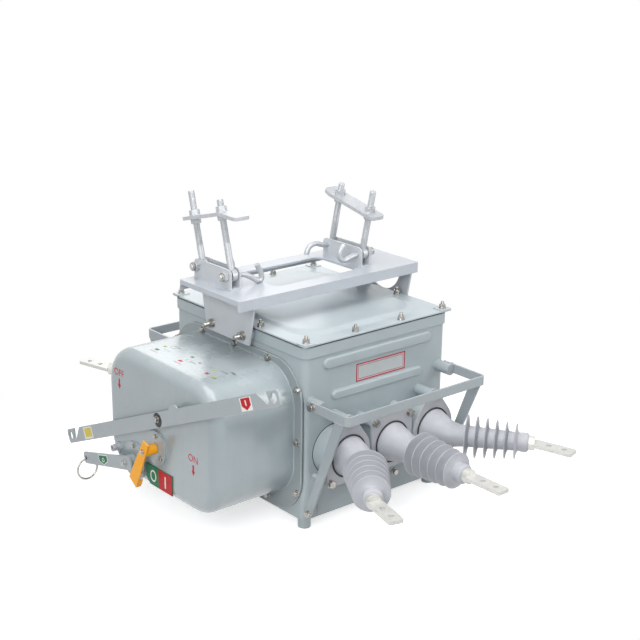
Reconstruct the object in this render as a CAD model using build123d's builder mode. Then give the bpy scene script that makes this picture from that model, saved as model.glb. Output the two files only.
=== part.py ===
"""Outdoor three-phase vacuum load break switch, hung from a cross-arm by its frame.

All sizes are in millimetres. +Z is up, +X runs along the row of bushings away from the
mechanism, and the origin is the middle of the four feet, on the plane they stand on.
"""

import os
from math import cos, radians, sin

from build123d import *

os.makedirs("parts", exist_ok=True)

# Tank
tank_length = 520.0
tank_width = 590.0
tank_height = 462.0
tank_corner = 20.0
foot_height = 30.0
foot_radius = 18.0
foot_bore = 11.0
foot_inset = 24.0
rim_height = 32.0
rim_reach = 5.0
gasket_thickness = 4.0
gasket_inset = 3.0
lid_thickness = 5.0
lid_reach = 7.0
lid_border = 46.0
lid_rise = 9.0

# Pressed ribs on the long sides
upper_rib_length = 394.0
upper_rib_width = 24.0
upper_rib_below_rim = 28.0
lower_rib_length = 330.0
lower_rib_width = 19.0
lower_rib_below_rim = 123.0
rib_rise = 8.0

# Bushings
phase_pitch = 157.0
bushing_height = 218.0
drum_radius = 72.0
drum_depth = 58.0
clamp_plate_size = 150.0
clamp_plate_thickness = 8.0
clamp_plate_corner = 22.0
clamp_bolt_square = 128.0
clamp_bolt_hole = 6.5
neck_base_radius = 57.0
neck_end_radius = 31.0
neck_straight = 20.0
neck_bend_radius = 118.0
side_turn = 36.0
core_radius = 30.0
core_end_radius = 26.0
shed_count = 6
first_shed_offset = 17.0
shed_pitch = 27.2
first_shed_radius = 61.0
last_shed_radius = 50.0
shed_root = 10.0
shed_edge = 2.0
head_radius = 27.0
head_length = 21.0
head_gap = 13.5
head_chamfer = 4.0

# Terminals
stem_radius = 20.0
stem_length = 16.0
pad_width = 40.0
pad_thickness = 10.0
pad_length = 120.0
pad_turn = 15.0
pad_hole = 7.0
pad_hole_spacing = 45.0
pad_hole_from_end = 28.0

# Guard of flat bar round each row of bushings
guard_half_length = 256.0
guard_reach = 167.0
guard_top = 382.0
bar_width = 26.0
bar_thickness = 6.0
guard_corner = 14.0
standoff_radius = 16.0
standoff_length = 50.0
standoff_flat = 13.0
arm_gap = 6.0
strut_foot_height = 52.0
strut_foot_size = 44.0
strut_foot_rise = 16.0
strut_width = 36.0

# Mechanism cover on the end of the tank
cover_flange_width = 582.0
cover_flange_height = 437.0
cover_flange_bottom = 36.0
cover_flange_thickness = 6.0
cover_flange_corner = 112.0
cover_width = 520.0
cover_height = 373.0
cover_bottom = 80.0
cover_depth = 258.0
cover_corner = 108.0
cover_edge = 34.0

# Shafts and bearings on the cover's face
bearing_thickness = 6.0
pointer_y = 10.0
pointer_z = 214.0
pointer_bearing_radius = 50.0
pointer_shaft_radius = 8.0
winding_y = 121.0
winding_z = 140.0
winding_bearing_radius = 54.0
winding_shaft_radius = 10.0
lever_y = -33.0
lever_z = 314.0
journal_radius = 19.0
shaft_clearance = 0.08
shaft_end_gap = 1.0
moving_gap = 6.0

# Operating lever
lever_thickness = 6.0
lever_height = 42.0
lever_near_reach = 562.0
lever_far_reach = 525.0
lever_tilt = 23.2
hook_slot_width = 32.0
hook_slot_depth = 30.0
hook_slot_foot = 12.0
hook_width = 18.0
doubler_length = 120.0
doubler_height = 56.0

# Winding handle and its pull ring
handle_thickness = 6.0
handle_reach = 229.0
handle_tilt = -15.2
handle_end_height = 34.0
handle_hub_height = 40.0
handle_tail = 32.0
handle_boss_radius = 19.0
ring_hole_radius = 6.0
ring_hole_from_end = 12.0
ring_radius = 32.0
ring_wire = 3.0

# Pointer and indicator plate
pointer_thickness = 4.0
pointer_width = 40.0
pointer_top_width = 26.0
pointer_reach = 122.0
pointer_tail = 35.0
pointer_tilt = -27.0
pointer_hub_radius = 15.0
pointer_fold = 12.0
pointer_return = 26.0
indicator_low_y = -64.0
indicator_high_y = 62.0
indicator_bottom = 97.0
indicator_top = 154.0
indicator_thickness = 3.0

# Socket stub on the cover's face
socket_y = 203.0
socket_z = 153.0
socket_base_radius = 15.0
socket_radius = 10.0
socket_bore = 6.5
socket_length = 24.0

# Hanging frame
frame_length = 653.0
frame_width = 276.0
frame_centre_x = -28.0
frame_top = 630.0
frame_thickness = 6.0
frame_side_flange = 30.0
frame_end_flange = 14.0
frame_corner = 6.0
window_low_x = -190.0
window_high_x = 105.0
window_width = 170.0
window_corner = 22.0
leg_gap = 21.0
leg_thickness = 6.0
leg_top_width = 250.0
leg_bottom_width = 192.0
leg_drop = 38.0
leg_lip = 34.0
spacer_radius = 15.0
spacer_spacing = 140.0
leg_window_radius = 73.0
leg_window_drop = 29.0

# Clamps that hold the cross-arm on the frame
clevis_near_x = {"left": -312.0, "right": 121.0}
clamp_middle_y = {"left": 41.0, "right": 0.0}
clevis_width = 36.0
clevis_corner = 14.0
clevis_length = 168.0
clevis_height = 57.0
clevis_wall = 5.0
rod_radius = 8.0
rod_spacing = 134.0
rod_length = {"left": 206.0, "right": 192.0}
rod_lean = {"left": 15.0, "right": -12.0}
jaw_distance = {"left": 145.0, "right": 134.0}
eye_radius = 17.0
eye_width = 16.0
pin_above_frame = 38.0
jaw_near_run = {"left": 80.0, "right": 105.0}
jaw_far_run = {"left": 97.0, "right": 84.0}
jaw_tail_end = {"left": -1, "right": 1}
jaw_tail_run = {"left": 77.0, "right": 27.0}
jaw_tail_turn = {"left": -15.0, "right": 14.0}
jaw_bend_radius = 14.0
jaw_corner = 12.0
jaw_width = 52.0
jaw_thickness = 10.0
jaw_hole = 9.0
nut_across_flats = 24.0
nut_height = 13.0
hook_bolt_radius = 7.0
hook_bolt_reach = 26.0
hook_bend_radius = 19.0
hook_tail = 10.0

# Levels and faces worked out from the sizes above
tank_bottom = foot_height
rim_bottom = tank_bottom + tank_height
rim_top = rim_bottom + rim_height
gasket_top = rim_top + gasket_thickness
end_face = -tank_length / 2
cover_back = end_face - cover_flange_thickness
cover_face = cover_back - cover_depth
side_face = tank_width / 2
drum_end = side_face + drum_depth
plate_face = drum_end + clamp_plate_thickness
frame_bottom = frame_top - frame_thickness
pin_height = frame_top + pin_above_frame
phases = {"left": -1, "middle": 0, "right": 1}
sides = {"front": -1, "back": 1}


def save(piece, label):
    """Label a finished piece and write it as parts/LABEL.step."""
    piece.part.label = label
    export_step(piece.part, f"parts/{label}.step")


def level(height):
    """Horizontal plane at a height."""
    return Plane.XY.offset(height)


def facing_mechanism(x, y=0.0, z=0.0, turn=0.0):
    """Plane parallel to the cover's face, seen from the mechanism end.

    Its x direction is -Y turned by an angle, so sketches read as the operator sees them.
    """
    across = (0, -cos(radians(turn)), sin(radians(turn)))
    return Plane(origin=(x, y, z), x_dir=across, z_dir=(-1, 0, 0))


def facing_side(side, y):
    """Vertical plane parallel to a long side of the tank, its normal pointing outwards."""
    return Plane(origin=(0, side * y, 0), x_dir=(-side, 0, 0), z_dir=(0, side, 0))


# Tank: body with pressed ribs, rim, gasket, lid and feet

with BuildPart() as tank_body:
    with BuildSketch(level(tank_bottom)):
        RectangleRounded(tank_length, tank_width, tank_corner)
    extrude(amount=tank_height)
    for side in sides.values():
        for length, width, below in (
            (upper_rib_length, upper_rib_width, upper_rib_below_rim),
            (lower_rib_length, lower_rib_width, lower_rib_below_rim),
        ):
            with BuildSketch(facing_side(side, side_face)):
                with Locations((0, rim_bottom - below)):
                    SlotOverall(length, width)
            extrude(amount=rib_rise, taper=38)
save(tank_body, "tank_body")

with BuildPart() as feet:
    foot_x = tank_length / 2 - foot_inset
    foot_y = tank_width / 2 - foot_inset
    with BuildSketch(level(0)):
        with GridLocations(2 * foot_x, 2 * foot_y, 2, 2):
            Circle(foot_radius)
            Circle(foot_bore, mode=Mode.SUBTRACT)
    extrude(amount=foot_height)
save(feet, "feet")

rim_length = tank_length + 2 * rim_reach
rim_width = tank_width + 2 * rim_reach

with BuildPart() as tank_rim:
    with BuildSketch(level(rim_bottom)):
        RectangleRounded(rim_length, rim_width, tank_corner + rim_reach)
    extrude(amount=rim_height)
    fillet(tank_rim.faces().sort_by(Axis.Z)[0].edges(), 3)
save(tank_rim, "tank_rim")

with BuildPart() as lid_gasket:
    with BuildSketch(level(rim_top)):
        RectangleRounded(rim_length - 2 * gasket_inset, rim_width - 2 * gasket_inset, tank_corner)
    extrude(amount=gasket_thickness)
save(lid_gasket, "lid_gasket")

with BuildPart() as lid:
    lid_length = tank_length + 2 * lid_reach
    lid_width = tank_width + 2 * lid_reach
    with BuildSketch(level(gasket_top)):
        RectangleRounded(lid_length, lid_width, tank_corner + lid_reach)
    extrude(amount=lid_thickness)
    with BuildSketch(level(gasket_top + lid_thickness)):
        RectangleRounded(lid_length - 2 * lid_border, lid_width - 2 * lid_border, 40)
    extrude(amount=lid_rise, taper=52)
save(lid, "lid")


# Bushings: drums on the tank, clamp plates, bent and straight bushings, terminals


def make_drums(side):
    """The three short drums that carry the bushings of one side."""
    with BuildPart() as drums:
        with BuildSketch(facing_side(side, side_face)):
            with Locations((0, bushing_height)):
                with GridLocations(phase_pitch, 1, 3, 1):
                    Circle(drum_radius)
        extrude(amount=drum_depth)
    return drums


def make_clamp_plates(side):
    """Plates, one a phase, bored for the bushing: square in the middle, arched outside."""
    half = clamp_plate_size / 2
    with BuildPart() as plates:
        with BuildSketch(facing_side(side, drum_end)):
            with Locations((0, bushing_height)):
                RectangleRounded(clamp_plate_size, clamp_plate_size, clamp_plate_corner)
            with Locations((0, bushing_height)):
                with GridLocations(2 * phase_pitch, 1, 2, 1):
                    Circle(half)
            with Locations((0, bushing_height - (half - clamp_plate_corner) / 2)):
                with GridLocations(2 * phase_pitch, 1, 2, 1):
                    RectangleRounded(clamp_plate_size, half + clamp_plate_corner, clamp_plate_corner)
            with Locations((0, bushing_height)):
                with GridLocations(phase_pitch, 1, 3, 1):
                    Circle(neck_base_radius, mode=Mode.SUBTRACT)
            with Locations((0, bushing_height - clamp_bolt_square / 2)):
                with GridLocations(phase_pitch, 1, 3, 1):
                    with GridLocations(clamp_bolt_square, 1, 2, 1):
                        Circle(clamp_bolt_hole, mode=Mode.SUBTRACT)
            with Locations((0, bushing_height + clamp_bolt_square / 2)):
                with GridLocations(clamp_bolt_square, 1, 2, 1):
                    Circle(clamp_bolt_hole, mode=Mode.SUBTRACT)
        extrude(amount=clamp_plate_thickness)
    return plates


def axis_frame(side, turn, origin):
    """Plane whose normal runs out along a bushing that is turned in plan by an angle."""
    outwards = (sin(radians(turn)), side * cos(radians(turn)), 0)
    return Plane(origin=origin, x_dir=(0, 0, 1), z_dir=outwards)


def neck_end(side, phase):
    """Where the bent neck ends and the straight, shedded part begins."""
    turn = radians(side_turn) * abs(phase)
    x = phase * (phase_pitch + neck_bend_radius * (1 - cos(turn)))
    run = neck_bend_radius * (sin(turn) if phase else radians(side_turn))
    return (x, side * (plate_face + neck_straight + run), bushing_height)


def neck_station(side, phase, share):
    """Plane across the neck at a share of its bend, from 0 at the plate to 1 at the sheds."""
    turn = side_turn * share
    x = phase * (phase_pitch + neck_bend_radius * (1 - cos(radians(turn))))
    run = neck_bend_radius * sin(radians(turn))
    return axis_frame(side, phase * turn, (x, side * (plate_face + neck_straight + run), bushing_height))


shed_part_length = first_shed_offset + (shed_count - 1) * shed_pitch + head_gap + head_length


def shed_profile():
    """Half section of the shedded part: points as (radius, distance along the axis)."""
    points = [(0, 0), (core_radius, 0)]
    for index in range(shed_count):
        share = index / (shed_count - 1)
        outer = first_shed_radius + (last_shed_radius - first_shed_radius) * share
        core = core_radius + (core_end_radius - core_radius) * share
        middle = first_shed_offset + index * shed_pitch
        points.append((core, middle - shed_root / 2))
        points.append((outer, middle - shed_edge / 2))
        points.append((outer, middle + shed_edge / 2))
        points.append((core, middle + shed_root / 2))
    head_start = shed_part_length - head_length
    points.append((core_end_radius, head_start))
    points.append((head_radius, head_start))
    points.append((head_radius, shed_part_length - head_chamfer))
    points.append((head_radius - head_chamfer, shed_part_length))
    points.append((0, shed_part_length))
    return points


def make_straight_bushing(side):
    """The middle bushing, one turned body: root, cone, sheds and head."""
    cylinder = clamp_plate_thickness + neck_straight
    cone_end = cylinder + neck_bend_radius * radians(side_turn)
    outline = [(0, 0), (neck_base_radius, 0), (neck_base_radius, cylinder), (neck_end_radius, cone_end)]
    outline += [(radius, cone_end + along) for radius, along in shed_profile()[1:]]
    axis_plane = axis_frame(side, 0, (0, side * drum_end, bushing_height))
    section = Plane(origin=axis_plane.origin, x_dir=(0, 0, 1), z_dir=axis_plane.y_dir)
    out = 1 if section.y_dir.dot(axis_plane.z_dir) > 0 else -1
    with BuildPart() as bushing:
        with BuildSketch(section):
            with BuildLine():
                Polyline(*[(radius, out * along) for radius, along in outline], close=True)
            make_face()
        revolve(axis=Axis(axis_plane.origin, axis_plane.z_dir))
    return bushing


def make_bent_bushing(side, phase):
    """An outer bushing: root in the clamp plate, tapered bend, sheds and head."""
    with BuildPart() as bushing:
        root = (phase * phase_pitch, side * drum_end, bushing_height)
        with BuildSketch(axis_frame(side, 0, root)):
            Circle(neck_base_radius)
        extrude(amount=clamp_plate_thickness + neck_straight)
        stations = 5
        for index in range(stations):
            share = index / (stations - 1)
            with BuildSketch(neck_station(side, phase, share)):
                Circle(neck_base_radius + (neck_end_radius - neck_base_radius) * share)
        loft()
        axis_plane = axis_frame(side, phase * side_turn, neck_end(side, phase))
        section = Plane(origin=axis_plane.origin, x_dir=(0, 0, 1), z_dir=axis_plane.y_dir)
        with BuildSketch(section) as half:
            out = 1 if section.y_dir.dot(axis_plane.z_dir) > 0 else -1
            with BuildLine():
                Polyline(*[(r, out * s) for r, s in shed_profile()], close=True)
            make_face()
        revolve(axis=Axis(axis_plane.origin, axis_plane.z_dir))
    return bushing


def make_terminal(side, phase):
    """Flat terminal with two holes, on a round stem in the bushing's head."""
    start = Vector(*neck_end(side, phase))
    along = axis_frame(side, phase * side_turn, start)
    head_face = start + along.z_dir * shed_part_length
    with BuildPart() as terminal:
        with BuildSketch(axis_frame(side, phase * side_turn, head_face)):
            Circle(stem_radius)
        extrude(amount=stem_length)
        pad_root = head_face + along.z_dir * (stem_length - 4)
        out = Vector(sin(radians(phase * pad_turn)), side * cos(radians(phase * pad_turn)), 0)
        pad_plane = Plane(
            origin=pad_root - Vector(0, 0, pad_thickness / 2), x_dir=out, z_dir=(0, 0, 1)
        )
        with BuildSketch(pad_plane):
            with Locations((pad_length / 2, 0)):
                RectangleRounded(pad_length, pad_width, 4)
            for step in (0, 1):
                with Locations((pad_length - pad_hole_from_end - step * pad_hole_spacing, 0)):
                    Circle(pad_hole, mode=Mode.SUBTRACT)
        extrude(amount=pad_thickness)
    return terminal


# Guard: flat bar bent round the bushings, two struts and two standoffs


def make_guard(side):
    """Bar bent to a U seen from above, with a strut down from each corner."""
    reach = side_face + guard_reach
    with BuildPart() as guard:
        with BuildSketch(level(guard_top - bar_width)):
            with BuildLine():
                start_y = side * (side_face + arm_gap)
                FilletPolyline(
                    (-guard_half_length, start_y),
                    (-guard_half_length, side * reach),
                    (guard_half_length, side * reach),
                    (guard_half_length, start_y),
                    radius=guard_corner,
                )
                offset(amount=bar_thickness, side=Side.LEFT if side < 0 else Side.RIGHT)
            make_face()
        extrude(amount=bar_width)
        for end in (-1, 1):
            plane = Plane(
                origin=(end * guard_half_length, 0, 0), x_dir=(0, side, 0), z_dir=(-end, 0, 0)
            )
            up = 1 if plane.y_dir.Z > 0 else -1
            top_y = reach - guard_corner - strut_width / 2
            foot_y = side_face + bar_thickness
            with BuildSketch(plane):
                with BuildLine():
                    Polyline(
                        (top_y - strut_width / 2, up * (guard_top - bar_width)),
                        (top_y + strut_width / 2, up * (guard_top - bar_width)),
                        (foot_y + strut_width / 3, up * (strut_foot_height - strut_foot_rise)),
                        (foot_y, up * (strut_foot_height - strut_foot_rise)),
                        (foot_y, up * (strut_foot_height + strut_foot_rise)),
                        close=True,
                    )
                make_face()
            extrude(amount=bar_thickness)
            foot_plane = facing_side(side, side_face)
            across = -side * end * (guard_half_length - strut_foot_size / 2)
            with BuildSketch(foot_plane):
                with Locations((across, strut_foot_height)):
                    RectangleRounded(strut_foot_size, strut_foot_size * 0.8, 6)
            extrude(amount=bar_thickness)
    return guard


def make_standoffs(side):
    """Round posts on the tank, flattened where the guard's arms bear on them."""
    with BuildPart() as standoffs:
        centre = guard_half_length - bar_thickness - standoff_flat
        with BuildSketch(facing_side(side, side_face)):
            with Locations((0, guard_top - bar_width / 2)):
                with GridLocations(2 * centre, 1, 2, 1):
                    Circle(standoff_radius)
                Rectangle(2 * (centre + standoff_flat), 4 * standoff_radius, mode=Mode.INTERSECT)
        extrude(amount=standoff_length)
    return standoffs


for side_name, side in sides.items():
    save(make_drums(side), f"bushing_drums_{side_name}")
    save(make_clamp_plates(side), f"clamp_plates_{side_name}")
    for phase_name, phase in phases.items():
        bushing = make_bent_bushing(side, phase) if phase else make_straight_bushing(side)
        save(bushing, f"bushing_{side_name}_{phase_name}")
        save(make_terminal(side, phase), f"terminal_{side_name}_{phase_name}")
    save(make_guard(side), f"guard_{side_name}")
    save(make_standoffs(side), f"guard_standoffs_{side_name}")


# Mechanism cover: a deep-drawn pressing welded to its flange

with BuildPart() as cover_flange:
    with BuildSketch(facing_mechanism(end_face)):
        with Locations((0, cover_flange_bottom + cover_flange_height / 2)):
            RectangleRounded(cover_flange_width, cover_flange_height, cover_flange_corner)
    extrude(amount=cover_flange_thickness)
save(cover_flange, "cover_flange")

with BuildPart() as mechanism_cover:
    with BuildSketch(facing_mechanism(cover_back)):
        with Locations((0, cover_bottom + cover_height / 2)):
            RectangleRounded(cover_width, cover_height, cover_corner)
    extrude(amount=cover_depth)
    fillet(mechanism_cover.faces().sort_by(Axis.X)[0].edges(), cover_edge)
save(mechanism_cover, "mechanism_cover")

lever_back_x = cover_face - bearing_thickness - moving_gap
lever_plane_x = lever_back_x - lever_thickness
handle_plane_x = lever_plane_x - lever_thickness - moving_gap
pointer_plane_x = handle_plane_x - handle_thickness - moving_gap
pointer_shaft_length = cover_face - bearing_thickness - pointer_plane_x

with BuildPart() as pointer_bearing:
    with BuildSketch(facing_mechanism(cover_face, pointer_y, pointer_z)):
        Circle(pointer_bearing_radius)
    extrude(amount=bearing_thickness)
    with BuildSketch(facing_mechanism(cover_face - bearing_thickness, pointer_y, pointer_z)):
        Circle(pointer_shaft_radius)
    extrude(amount=pointer_shaft_length)
save(pointer_bearing, "pointer_bearing")

with BuildPart() as winding_bearing:
    with BuildSketch(facing_mechanism(cover_face, winding_y, winding_z)):
        Circle(winding_bearing_radius)
    extrude(amount=bearing_thickness)
    with BuildSketch(facing_mechanism(cover_face - bearing_thickness, winding_y, winding_z)):
        Circle(winding_shaft_radius)
    extrude(amount=cover_face - bearing_thickness - handle_plane_x + handle_thickness + 3)
save(winding_bearing, "winding_bearing")

with BuildPart() as lever_journal:
    with BuildSketch(facing_mechanism(cover_face, lever_y, lever_z)):
        Circle(journal_radius)
    extrude(amount=cover_face - lever_plane_x + lever_thickness - 2)
save(lever_journal, "lever_journal")

with BuildPart() as indicator_plate:
    with BuildSketch(facing_mechanism(cover_face)):
        with BuildLine():
            Polyline(
                (-indicator_low_y, indicator_top),
                (-indicator_low_y, indicator_bottom),
                (-indicator_high_y + 20, indicator_bottom),
                (-indicator_high_y, indicator_bottom + 16),
                (-indicator_high_y, indicator_top),
                close=True,
            )
        make_face()
    extrude(amount=indicator_thickness)
save(indicator_plate, "indicator_plate")

with BuildPart() as socket_stub:
    with BuildSketch(facing_mechanism(cover_face, socket_y, socket_z)):
        RegularPolygon(socket_base_radius, 6)
    extrude(amount=bearing_thickness)
    with BuildSketch(facing_mechanism(cover_face, socket_y, socket_z)):
        Circle(socket_radius)
    extrude(amount=socket_length)
    with BuildSketch(facing_mechanism(cover_face - socket_length, socket_y, socket_z)):
        Circle(socket_bore)
    extrude(amount=-(socket_length - bearing_thickness), mode=Mode.SUBTRACT)
save(socket_stub, "socket_stub")

with BuildPart() as operating_lever:
    lever_view = facing_mechanism(lever_plane_x, lever_y, lever_z, lever_tilt)
    middle = (lever_near_reach - lever_far_reach) / 2
    with BuildSketch(lever_view):
        with Locations((middle, 0)):
            RectangleRounded(lever_near_reach + lever_far_reach, lever_height, 9)
        Circle(journal_radius + shaft_clearance, mode=Mode.SUBTRACT)
        for reach in (lever_near_reach, -lever_far_reach):
            inwards = -1 if reach > 0 else 1
            throat = reach + inwards * hook_width
            foot = lever_height / 2 - hook_slot_depth + hook_slot_foot / 2
            mouth = lever_height / 2 + 1
            with BuildLine():
                Polyline(
                    (throat, mouth),
                    (throat, foot),
                    (throat + inwards * hook_slot_foot, foot),
                    (throat + inwards * hook_slot_width, mouth),
                    close=True,
                )
            make_face(mode=Mode.SUBTRACT)
            with Locations((throat + inwards * hook_slot_foot / 2, foot)):
                Circle(hook_slot_foot / 2, mode=Mode.SUBTRACT)
    extrude(amount=lever_thickness)
    with BuildSketch(facing_mechanism(lever_back_x, lever_y, lever_z, lever_tilt)):
        RectangleRounded(doubler_length, doubler_height, 12)
        Circle(journal_radius + shaft_clearance, mode=Mode.SUBTRACT)
    extrude(amount=lever_thickness)
save(operating_lever, "operating_lever")

with BuildPart() as winding_handle:
    handle_view = facing_mechanism(handle_plane_x, winding_y, winding_z, 180 - handle_tilt)
    with BuildSketch(handle_view):
        with BuildLine():
            Polyline(
                (-handle_tail, -handle_hub_height / 2),
                (handle_reach - 6, -handle_end_height / 2),
                (handle_reach, 6 - handle_end_height / 2),
                (handle_reach, handle_end_height / 2 - 6),
                (handle_reach - 6, handle_end_height / 2),
                (-handle_tail, handle_hub_height / 2),
                close=True,
            )
        make_face()
        Circle(winding_shaft_radius + shaft_clearance, mode=Mode.SUBTRACT)
        with Locations((handle_reach - ring_hole_from_end, 0)):
            Circle(ring_hole_radius, mode=Mode.SUBTRACT)
    extrude(amount=handle_thickness)
    boss_length = cover_face - bearing_thickness - shaft_end_gap - handle_plane_x
    with BuildSketch(facing_mechanism(handle_plane_x, winding_y, winding_z)):
        Circle(handle_boss_radius)
        Circle(winding_shaft_radius + shaft_clearance, mode=Mode.SUBTRACT)
    extrude(amount=-boss_length)
save(winding_handle, "winding_handle")

hole_run = handle_reach - ring_hole_from_end
ring_y = winding_y + hole_run * cos(radians(handle_tilt))
ring_hole_z = winding_z + hole_run * sin(radians(handle_tilt))
ring_x = handle_plane_x - handle_thickness / 2
wire_z = ring_hole_z - ring_hole_radius + ring_wire + 0.5

with BuildPart() as pull_ring:
    ring_centre = (ring_x, ring_y, wire_z - ring_radius)
    with BuildSketch(Plane(origin=ring_centre, x_dir=(1, 0, 0), z_dir=(0, 0, 1))):
        with Locations((ring_radius, 0)):
            Circle(ring_wire)
    revolve(axis=Axis(ring_centre, (0, 1, 0)))
save(pull_ring, "pull_ring")

with BuildPart() as pointer:
    pointer_view = facing_mechanism(pointer_plane_x, pointer_y, pointer_z, pointer_tilt)
    with BuildSketch(pointer_view):
        with BuildLine():
            Polyline(
                (-pointer_top_width / 2, pointer_tail - 4),
                (pointer_top_width / 2, pointer_tail),
                (pointer_width / 2, -pointer_reach - 2),
                (-pointer_width / 2, -pointer_reach + 2),
                close=True,
            )
        make_face()
    extrude(amount=pointer_thickness)
    with BuildSketch(pointer_view):
        with BuildLine():
            Polyline(
                (pointer_width / 2, -pointer_reach - 2),
                (pointer_width / 2 - pointer_thickness, -pointer_reach - 2),
                (pointer_width / 2 - pointer_thickness, -pointer_reach + pointer_return),
                (pointer_width / 2, -pointer_reach + pointer_return),
                close=True,
            )
        make_face()
    extrude(amount=-pointer_fold)
    with BuildSketch(facing_mechanism(pointer_plane_x, pointer_y, pointer_z)):
        Circle(pointer_hub_radius)
        Circle(pointer_shaft_radius + shaft_clearance, mode=Mode.SUBTRACT)
    extrude(amount=-(pointer_shaft_length - shaft_end_gap))
save(pointer, "pointer")


# Hanging frame: plate with a window and folded edges, on two legs

with BuildPart() as hanging_frame:
    centre = (frame_centre_x, 0)
    with BuildSketch(level(frame_top - frame_side_flange)):
        with Locations(centre):
            RectangleRounded(frame_length, frame_width, frame_corner)
    extrude(amount=frame_side_flange)
    inner_length = frame_length - 2 * frame_thickness
    inner_width = frame_width - 2 * frame_thickness
    with BuildSketch(level(frame_top - frame_side_flange)):
        with Locations(centre):
            Rectangle(inner_length, inner_width)
    extrude(amount=frame_side_flange - frame_thickness, mode=Mode.SUBTRACT)
    with BuildSketch(level(frame_top - frame_side_flange)):
        with Locations(centre):
            Rectangle(frame_length, inner_width)
    extrude(amount=frame_side_flange - frame_end_flange, mode=Mode.SUBTRACT)
    with BuildSketch(level(frame_top)):
        with Locations(((window_low_x + window_high_x) / 2, 0)):
            RectangleRounded(window_high_x - window_low_x, window_width, window_corner)
    extrude(amount=-frame_thickness, mode=Mode.SUBTRACT)
save(hanging_frame, "hanging_frame")


def make_leg(end, window):
    """Leg folded from plate: lip under the frame, tapered web, two spacers on the rim."""
    spacer_height = (rim_bottom + rim_top) / 2
    outer = tank_length / 2 + rim_reach + leg_gap + leg_thickness
    with BuildPart() as leg:
        plane = Plane(origin=(end * outer, 0, 0), x_dir=(0, 1, 0), z_dir=(end, 0, 0))
        bottom = spacer_height - leg_drop + spacer_radius
        with BuildSketch(plane):
            up = 1 if plane.y_dir.Z > 0 else -1
            with BuildLine():
                Polyline(
                    (-leg_top_width / 2, up * frame_bottom),
                    (leg_top_width / 2, up * frame_bottom),
                    (leg_bottom_width / 2, up * bottom),
                    (-leg_bottom_width / 2, up * bottom),
                    close=True,
                )
            make_face()
            if window:
                with Locations((0, up * (frame_bottom - leg_window_drop))):
                    Circle(leg_window_radius, mode=Mode.SUBTRACT)
        extrude(amount=-leg_thickness)
        with BuildSketch(level(frame_bottom - leg_thickness)):
            with Locations((end * (outer - leg_lip / 2), 0)):
                Rectangle(leg_lip, leg_top_width)
        extrude(amount=leg_thickness)
        with BuildSketch(Plane(origin=(end * outer, 0, 0), x_dir=(0, 1, 0), z_dir=(end, 0, 0))):
            with Locations((0, up * spacer_height)):
                with GridLocations(spacer_spacing, 1, 2, 1):
                    Circle(spacer_radius)
        extrude(amount=-(leg_gap + leg_thickness))
    return leg


save(make_leg(-1, False), "frame_leg_left")
save(make_leg(1, True), "frame_leg_right")


# Clamps: clevis channel, hook bolts as pins, eye rods, jaw and nuts


def rod_plane(name, y):
    """Plane at a pin, at y from the clamp's middle, its normal up along the leaning rod."""
    lean = radians(rod_lean[name])
    x = clevis_near_x[name] + clevis_width / 2
    return Plane(origin=(x, clamp_middle_y[name] + y, pin_height), x_dir=(1, 0, 0), z_dir=(0, sin(lean), cos(lean)))


def jaw_plane(name):
    """Plane of the jaw's middle, square to the rods."""
    centre = rod_plane(name, 0)
    origin = centre.origin + centre.z_dir * jaw_distance[name]
    return Plane(origin=origin, x_dir=(1, 0, 0), z_dir=centre.z_dir)


def make_clevis(name):
    """Channel standing on the frame with its open side up and four pin holes."""
    x = clevis_near_x[name] + clevis_width / 2
    with BuildPart() as clevis:
        with BuildSketch(level(frame_top)):
            with Locations((x, clamp_middle_y[name])):
                Rectangle(clevis_width, clevis_length)
        extrude(amount=clevis_height)
        with BuildSketch(level(frame_top + clevis_wall)):
            with Locations((x, clamp_middle_y[name])):
                Rectangle(clevis_width - 2 * clevis_wall, clevis_length)
        extrude(amount=clevis_height, mode=Mode.SUBTRACT)
        corners = clevis.edges().filter_by(Axis.X).group_by(Axis.Z)[-1]
        fillet(corners, clevis_corner)
        with BuildSketch(Plane(origin=(x, clamp_middle_y[name], pin_height), x_dir=(0, 1, 0), z_dir=(1, 0, 0))):
            with GridLocations(rod_spacing, 1, 2, 1):
                Circle(hook_bolt_radius)
        extrude(amount=clevis_width / 2, both=True, mode=Mode.SUBTRACT)
    return clevis


def make_rods(name):
    """The two eye rods of one clamp."""
    with BuildPart() as rods:
        for y in (-rod_spacing / 2, rod_spacing / 2):
            plane = rod_plane(name, y)
            with BuildSketch(plane):
                Circle(rod_radius)
            extrude(amount=rod_length[name])
            eye = Plane(origin=plane.origin, x_dir=(0, 1, 0), z_dir=(1, 0, 0))
            with BuildSketch(eye):
                Circle(eye_radius)
            extrude(amount=eye_width / 2, both=True)
            with BuildSketch(eye):
                Circle(hook_bolt_radius)
            extrude(amount=eye_width, both=True, mode=Mode.SUBTRACT)
    return rods


def rod_offset(name):
    """Distance between the middle line and a rod, measured square to the rods."""
    return rod_spacing / 2 * cos(radians(rod_lean[name]))


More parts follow.
